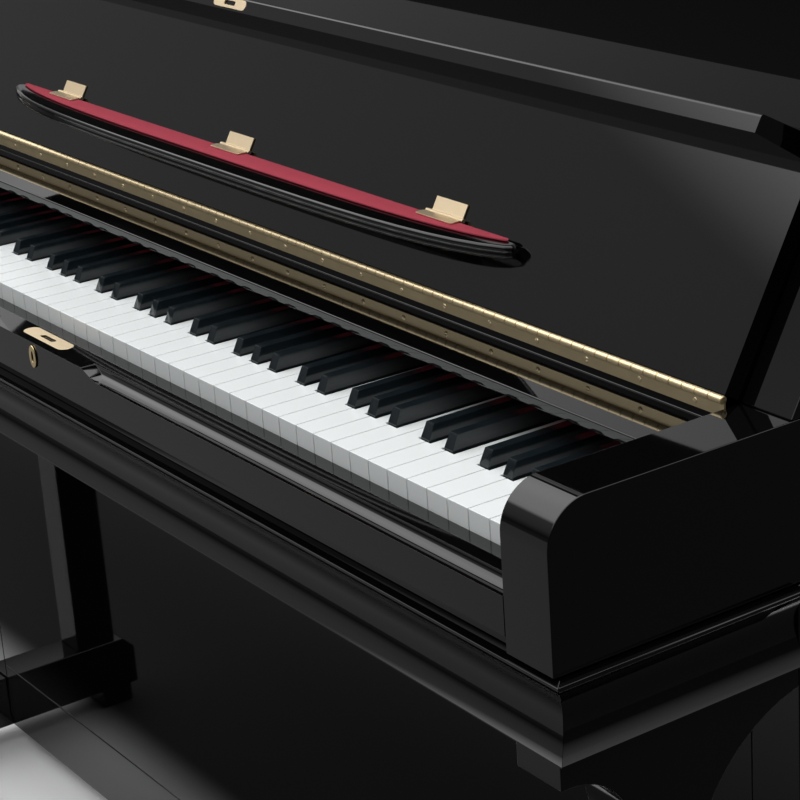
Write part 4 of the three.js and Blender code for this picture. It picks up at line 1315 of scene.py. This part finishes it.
@dataclass
class Studio:
    """Camera, light and floor."""

    focal: float = 105.1
    place: tuple[float, float, float] = (1.7257, -1.0739, 1.3368)
    yaw: float = 56.54
    pitch: float = 20.29
    roll: float = -4.04
    shift: float = -0.00556
    sensor: float = 36.0
    clip: tuple[float, float] = (0.05, 50.0)
    left_wall: tuple[tuple[float, float], ...] = (
        (0.0, 0.12), (0.30, 0.24), (0.36, 0.20), (0.40, 0.04), (0.475, 0.09), (0.53, 0.04), (0.60, 0.26),
        (0.705, 0.36), (0.735, 2.3), (0.77, 2.5), (1.0, 2.3),
    )
    right_wall: tuple[tuple[float, float], ...] = (
        (0.0, 0.03), (0.62, 0.04), (0.78, 0.5), (0.88, 1.5), (1.0, 2.4),
    )
    backdrop: tuple[tuple[float, float], ...] = (
        (0.0, 0.8), (0.62, 0.8), (0.74, 1.1), (0.85, 2.0), (1.0, 2.4),
    )
    walls_meet: tuple[float, float] = (-0.5, 0.15)
    backdrop_side: tuple[float, float, float] = (-0.5, 0.866, 0.0)
    backdrop_from: tuple[float, float] = (0.3, 0.7)
    floor_reach: float = 8.0
    floor_gap: float = 0.5 * MM
    floor_roughness: float = 0.9
    floor_gloss: float = 0.1
    floor_pale: tuple[float, float, float] = (0.9, 0.9, 0.91)
    # painted shade on the floor: nearly black just in front of the piano and to its treble side, a little
    # lighter further out in front, where the polish mirrors it
    floor_shade_in_front: tuple[float, float, float] = (0.17, 0.17, 0.17)
    floor_shadow_under_keys: tuple[float, float, float] = (0.04, 0.04, 0.04)
    floor_shade_aside: tuple[float, float, float] = (0.03, 0.03, 0.03)
    pale_from: tuple[float, float] = (-0.24, -0.16)
    shadow_under_keys_from: tuple[float, float] = (-1.1, -0.4)
    shade_aside_from: tuple[float, float] = (0.66, 0.82)

    def camera(self) -> None:
        """Places the camera at the viewing angle."""
        data = bpy.data.cameras.new("camera")
        data.lens = self.focal
        data.shift_x = self.shift
        data.sensor_width = self.sensor
        data.clip_start, data.clip_end = self.clip
        camera = bpy.data.objects.new("camera", data)
        bpy.context.scene.collection.objects.link(camera)
        turn = (
            Matrix.Rotation(math.radians(self.yaw), 4, "Z")
            @ Matrix.Rotation(math.radians(90 - self.pitch), 4, "X")
            @ Matrix.Rotation(math.radians(self.roll), 4, "Z")
        )
        camera.matrix_world = Matrix.Translation(self.place) @ turn
        bpy.context.scene.camera = camera

    def world(self) -> None:
        """A room dim at its sides and in front, with a pale backdrop behind and soft light overhead."""
        world = bpy.data.worlds.new("studio")
        bpy.context.scene.world = world
        world.use_nodes = True
        sheet = NodeSheet(world.node_tree)
        back = world.node_tree.nodes["Background"]
        place = sheet.node("ShaderNodeTexCoord")
        split = sheet.node("ShaderNodeSeparateXYZ")
        sheet.link(place.outputs["Generated"], split.inputs[0])
        height = sheet.maths("MULTIPLY_ADD", split.outputs["Z"], 0.5, 0.5)
        left, right, behind = (
            self.ramp(sheet, height, stops) for stops in (self.left_wall, self.right_wall, self.backdrop)
        )
        walls = sheet.mixed(self.step(sheet, split.outputs["X"], *self.walls_meet), left, right)
        toward = sheet.node("ShaderNodeVectorMath", operation="DOT_PRODUCT")
        sheet.feed(toward.inputs, (place.outputs["Generated"], self.backdrop_side))
        backdrop_share = self.step(sheet, toward.outputs["Value"], *self.backdrop_from)
        sheet.link(sheet.mixed(backdrop_share, walls, behind), back.inputs["Color"])
        back.inputs["Strength"].default_value = 1.0

    @staticmethod
    def step(
        sheet: NodeSheet, value: bpy.types.NodeSocket, low: float, high: float,
    ) -> bpy.types.NodeSocket:
        """A soft step from 0 to 1.

        Args:
            sheet: the nodes it goes among.
            value: what it follows.
            low: where it starts to rise.
            high: where it reaches 1.

        Returns:
            The step's socket.
        """
        made = sheet.node("ShaderNodeMapRange", interpolation_type="SMOOTHSTEP")
        made.inputs["From Min"].default_value = low
        made.inputs["From Max"].default_value = high
        sheet.link(value, made.inputs["Value"])
        return made.outputs["Result"]

    @staticmethod
    def ramp(
        sheet: NodeSheet, height: bpy.types.NodeSocket, stops: Sequence[tuple[float, float]],
    ) -> bpy.types.NodeSocket:
        """Grey that follows height.

        Args:
            sheet: the world's nodes.
            height: 0 straight down, 1 straight up.
            stops: heights and their brightness.

        Returns:
            The colour's socket.
        """
        made = sheet.node("ShaderNodeValToRGB")
        made.color_ramp.interpolation = "LINEAR"
        elements = made.color_ramp.elements
        for i, (place, bright) in enumerate(stops):
            stop = elements[i] if i < 2 else elements.new(place)
            stop.position = place
            stop.color = (bright, bright, bright, 1)
        sheet.link(height, made.inputs[0])
        return made.outputs["Color"]

    def floor(self) -> None:
        """A floor pale under and behind the piano, with painted shade in front of it and to its treble side,
        nearly black next to it, where the polish mirrors it.
        """
        low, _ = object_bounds()
        bm = bmesh.new()
        bmesh.ops.create_grid(bm, x_segments=1, y_segments=1, size=self.floor_reach)
        bmesh.ops.translate(bm, vec=(0, 0, low.z - self.floor_gap), verts=bm.verts)
        mesh = bpy.data.meshes.new("floor")
        bm.to_mesh(mesh)
        bm.free()
        material = bpy.data.materials.new("floor_painted_shade")
        material.use_nodes = True
        sheet = NodeSheet(material.node_tree)
        shader = material.node_tree.nodes["Principled BSDF"]
        shader.inputs["Roughness"].default_value = self.floor_roughness
        shader.inputs["Specular IOR Level"].default_value = self.floor_gloss
        place = sheet.node("ShaderNodeTexCoord")
        split = sheet.node("ShaderNodeSeparateXYZ")
        sheet.link(place.outputs["Object"], split.inputs[0])
        # painted shade: the floor is pale only under and behind the piano; in front it is darkest close to
        # the piano, and to the treble side it is nearly black
        pale = self.step(sheet, split.outputs["Y"], *self.pale_from)
        under_keys_shadow = self.step(sheet, split.outputs["Y"], *self.shadow_under_keys_from)
        front = sheet.mixed(under_keys_shadow, (*self.floor_shade_in_front, 1), (*self.floor_shadow_under_keys, 1))
        pale_or_painted_shade = sheet.mixed(pale, front, (*self.floor_pale, 1))
        treble_side_shade = self.step(sheet, split.outputs["X"], *self.shade_aside_from)
        sheet.link(sheet.mixed(treble_side_shade, pale_or_painted_shade, (*self.floor_shade_aside, 1)), shader.inputs["Base Color"])
        mesh.materials.append(material)
        floor = bpy.data.objects.new("floor", mesh)
        bpy.context.scene.collection.objects.link(floor)
        floor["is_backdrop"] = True

    def build(self) -> None:
        """Sets the studio up."""
        self.camera()
        self.world()
        self.floor()
        bpy.context.scene.view_settings.view_transform = "Standard"


def main() -> None:
    """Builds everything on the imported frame."""
    logging.basicConfig(level=logging.INFO, format="%(name)s: %(message)s")
    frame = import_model()
    bodies = frame["record"]["behaviour"]["bodies"]
    body_of = {node: body for body, members in bodies.items() for node in members}
    shop = Workshop(frame["nodes"], body_of)
    studio = Studio()
    studio.build()
    parts = (
        Casework(shop), Keyboard(shop), FallboardSet(shop), MusicShelf(shop), Fittings(shop), Action(shop),
        StrungBack(shop),
    )
    for part in parts:
        part.build()
        log.info("built %s", type(part).__name__)


if __name__ == "__main__":
    main()
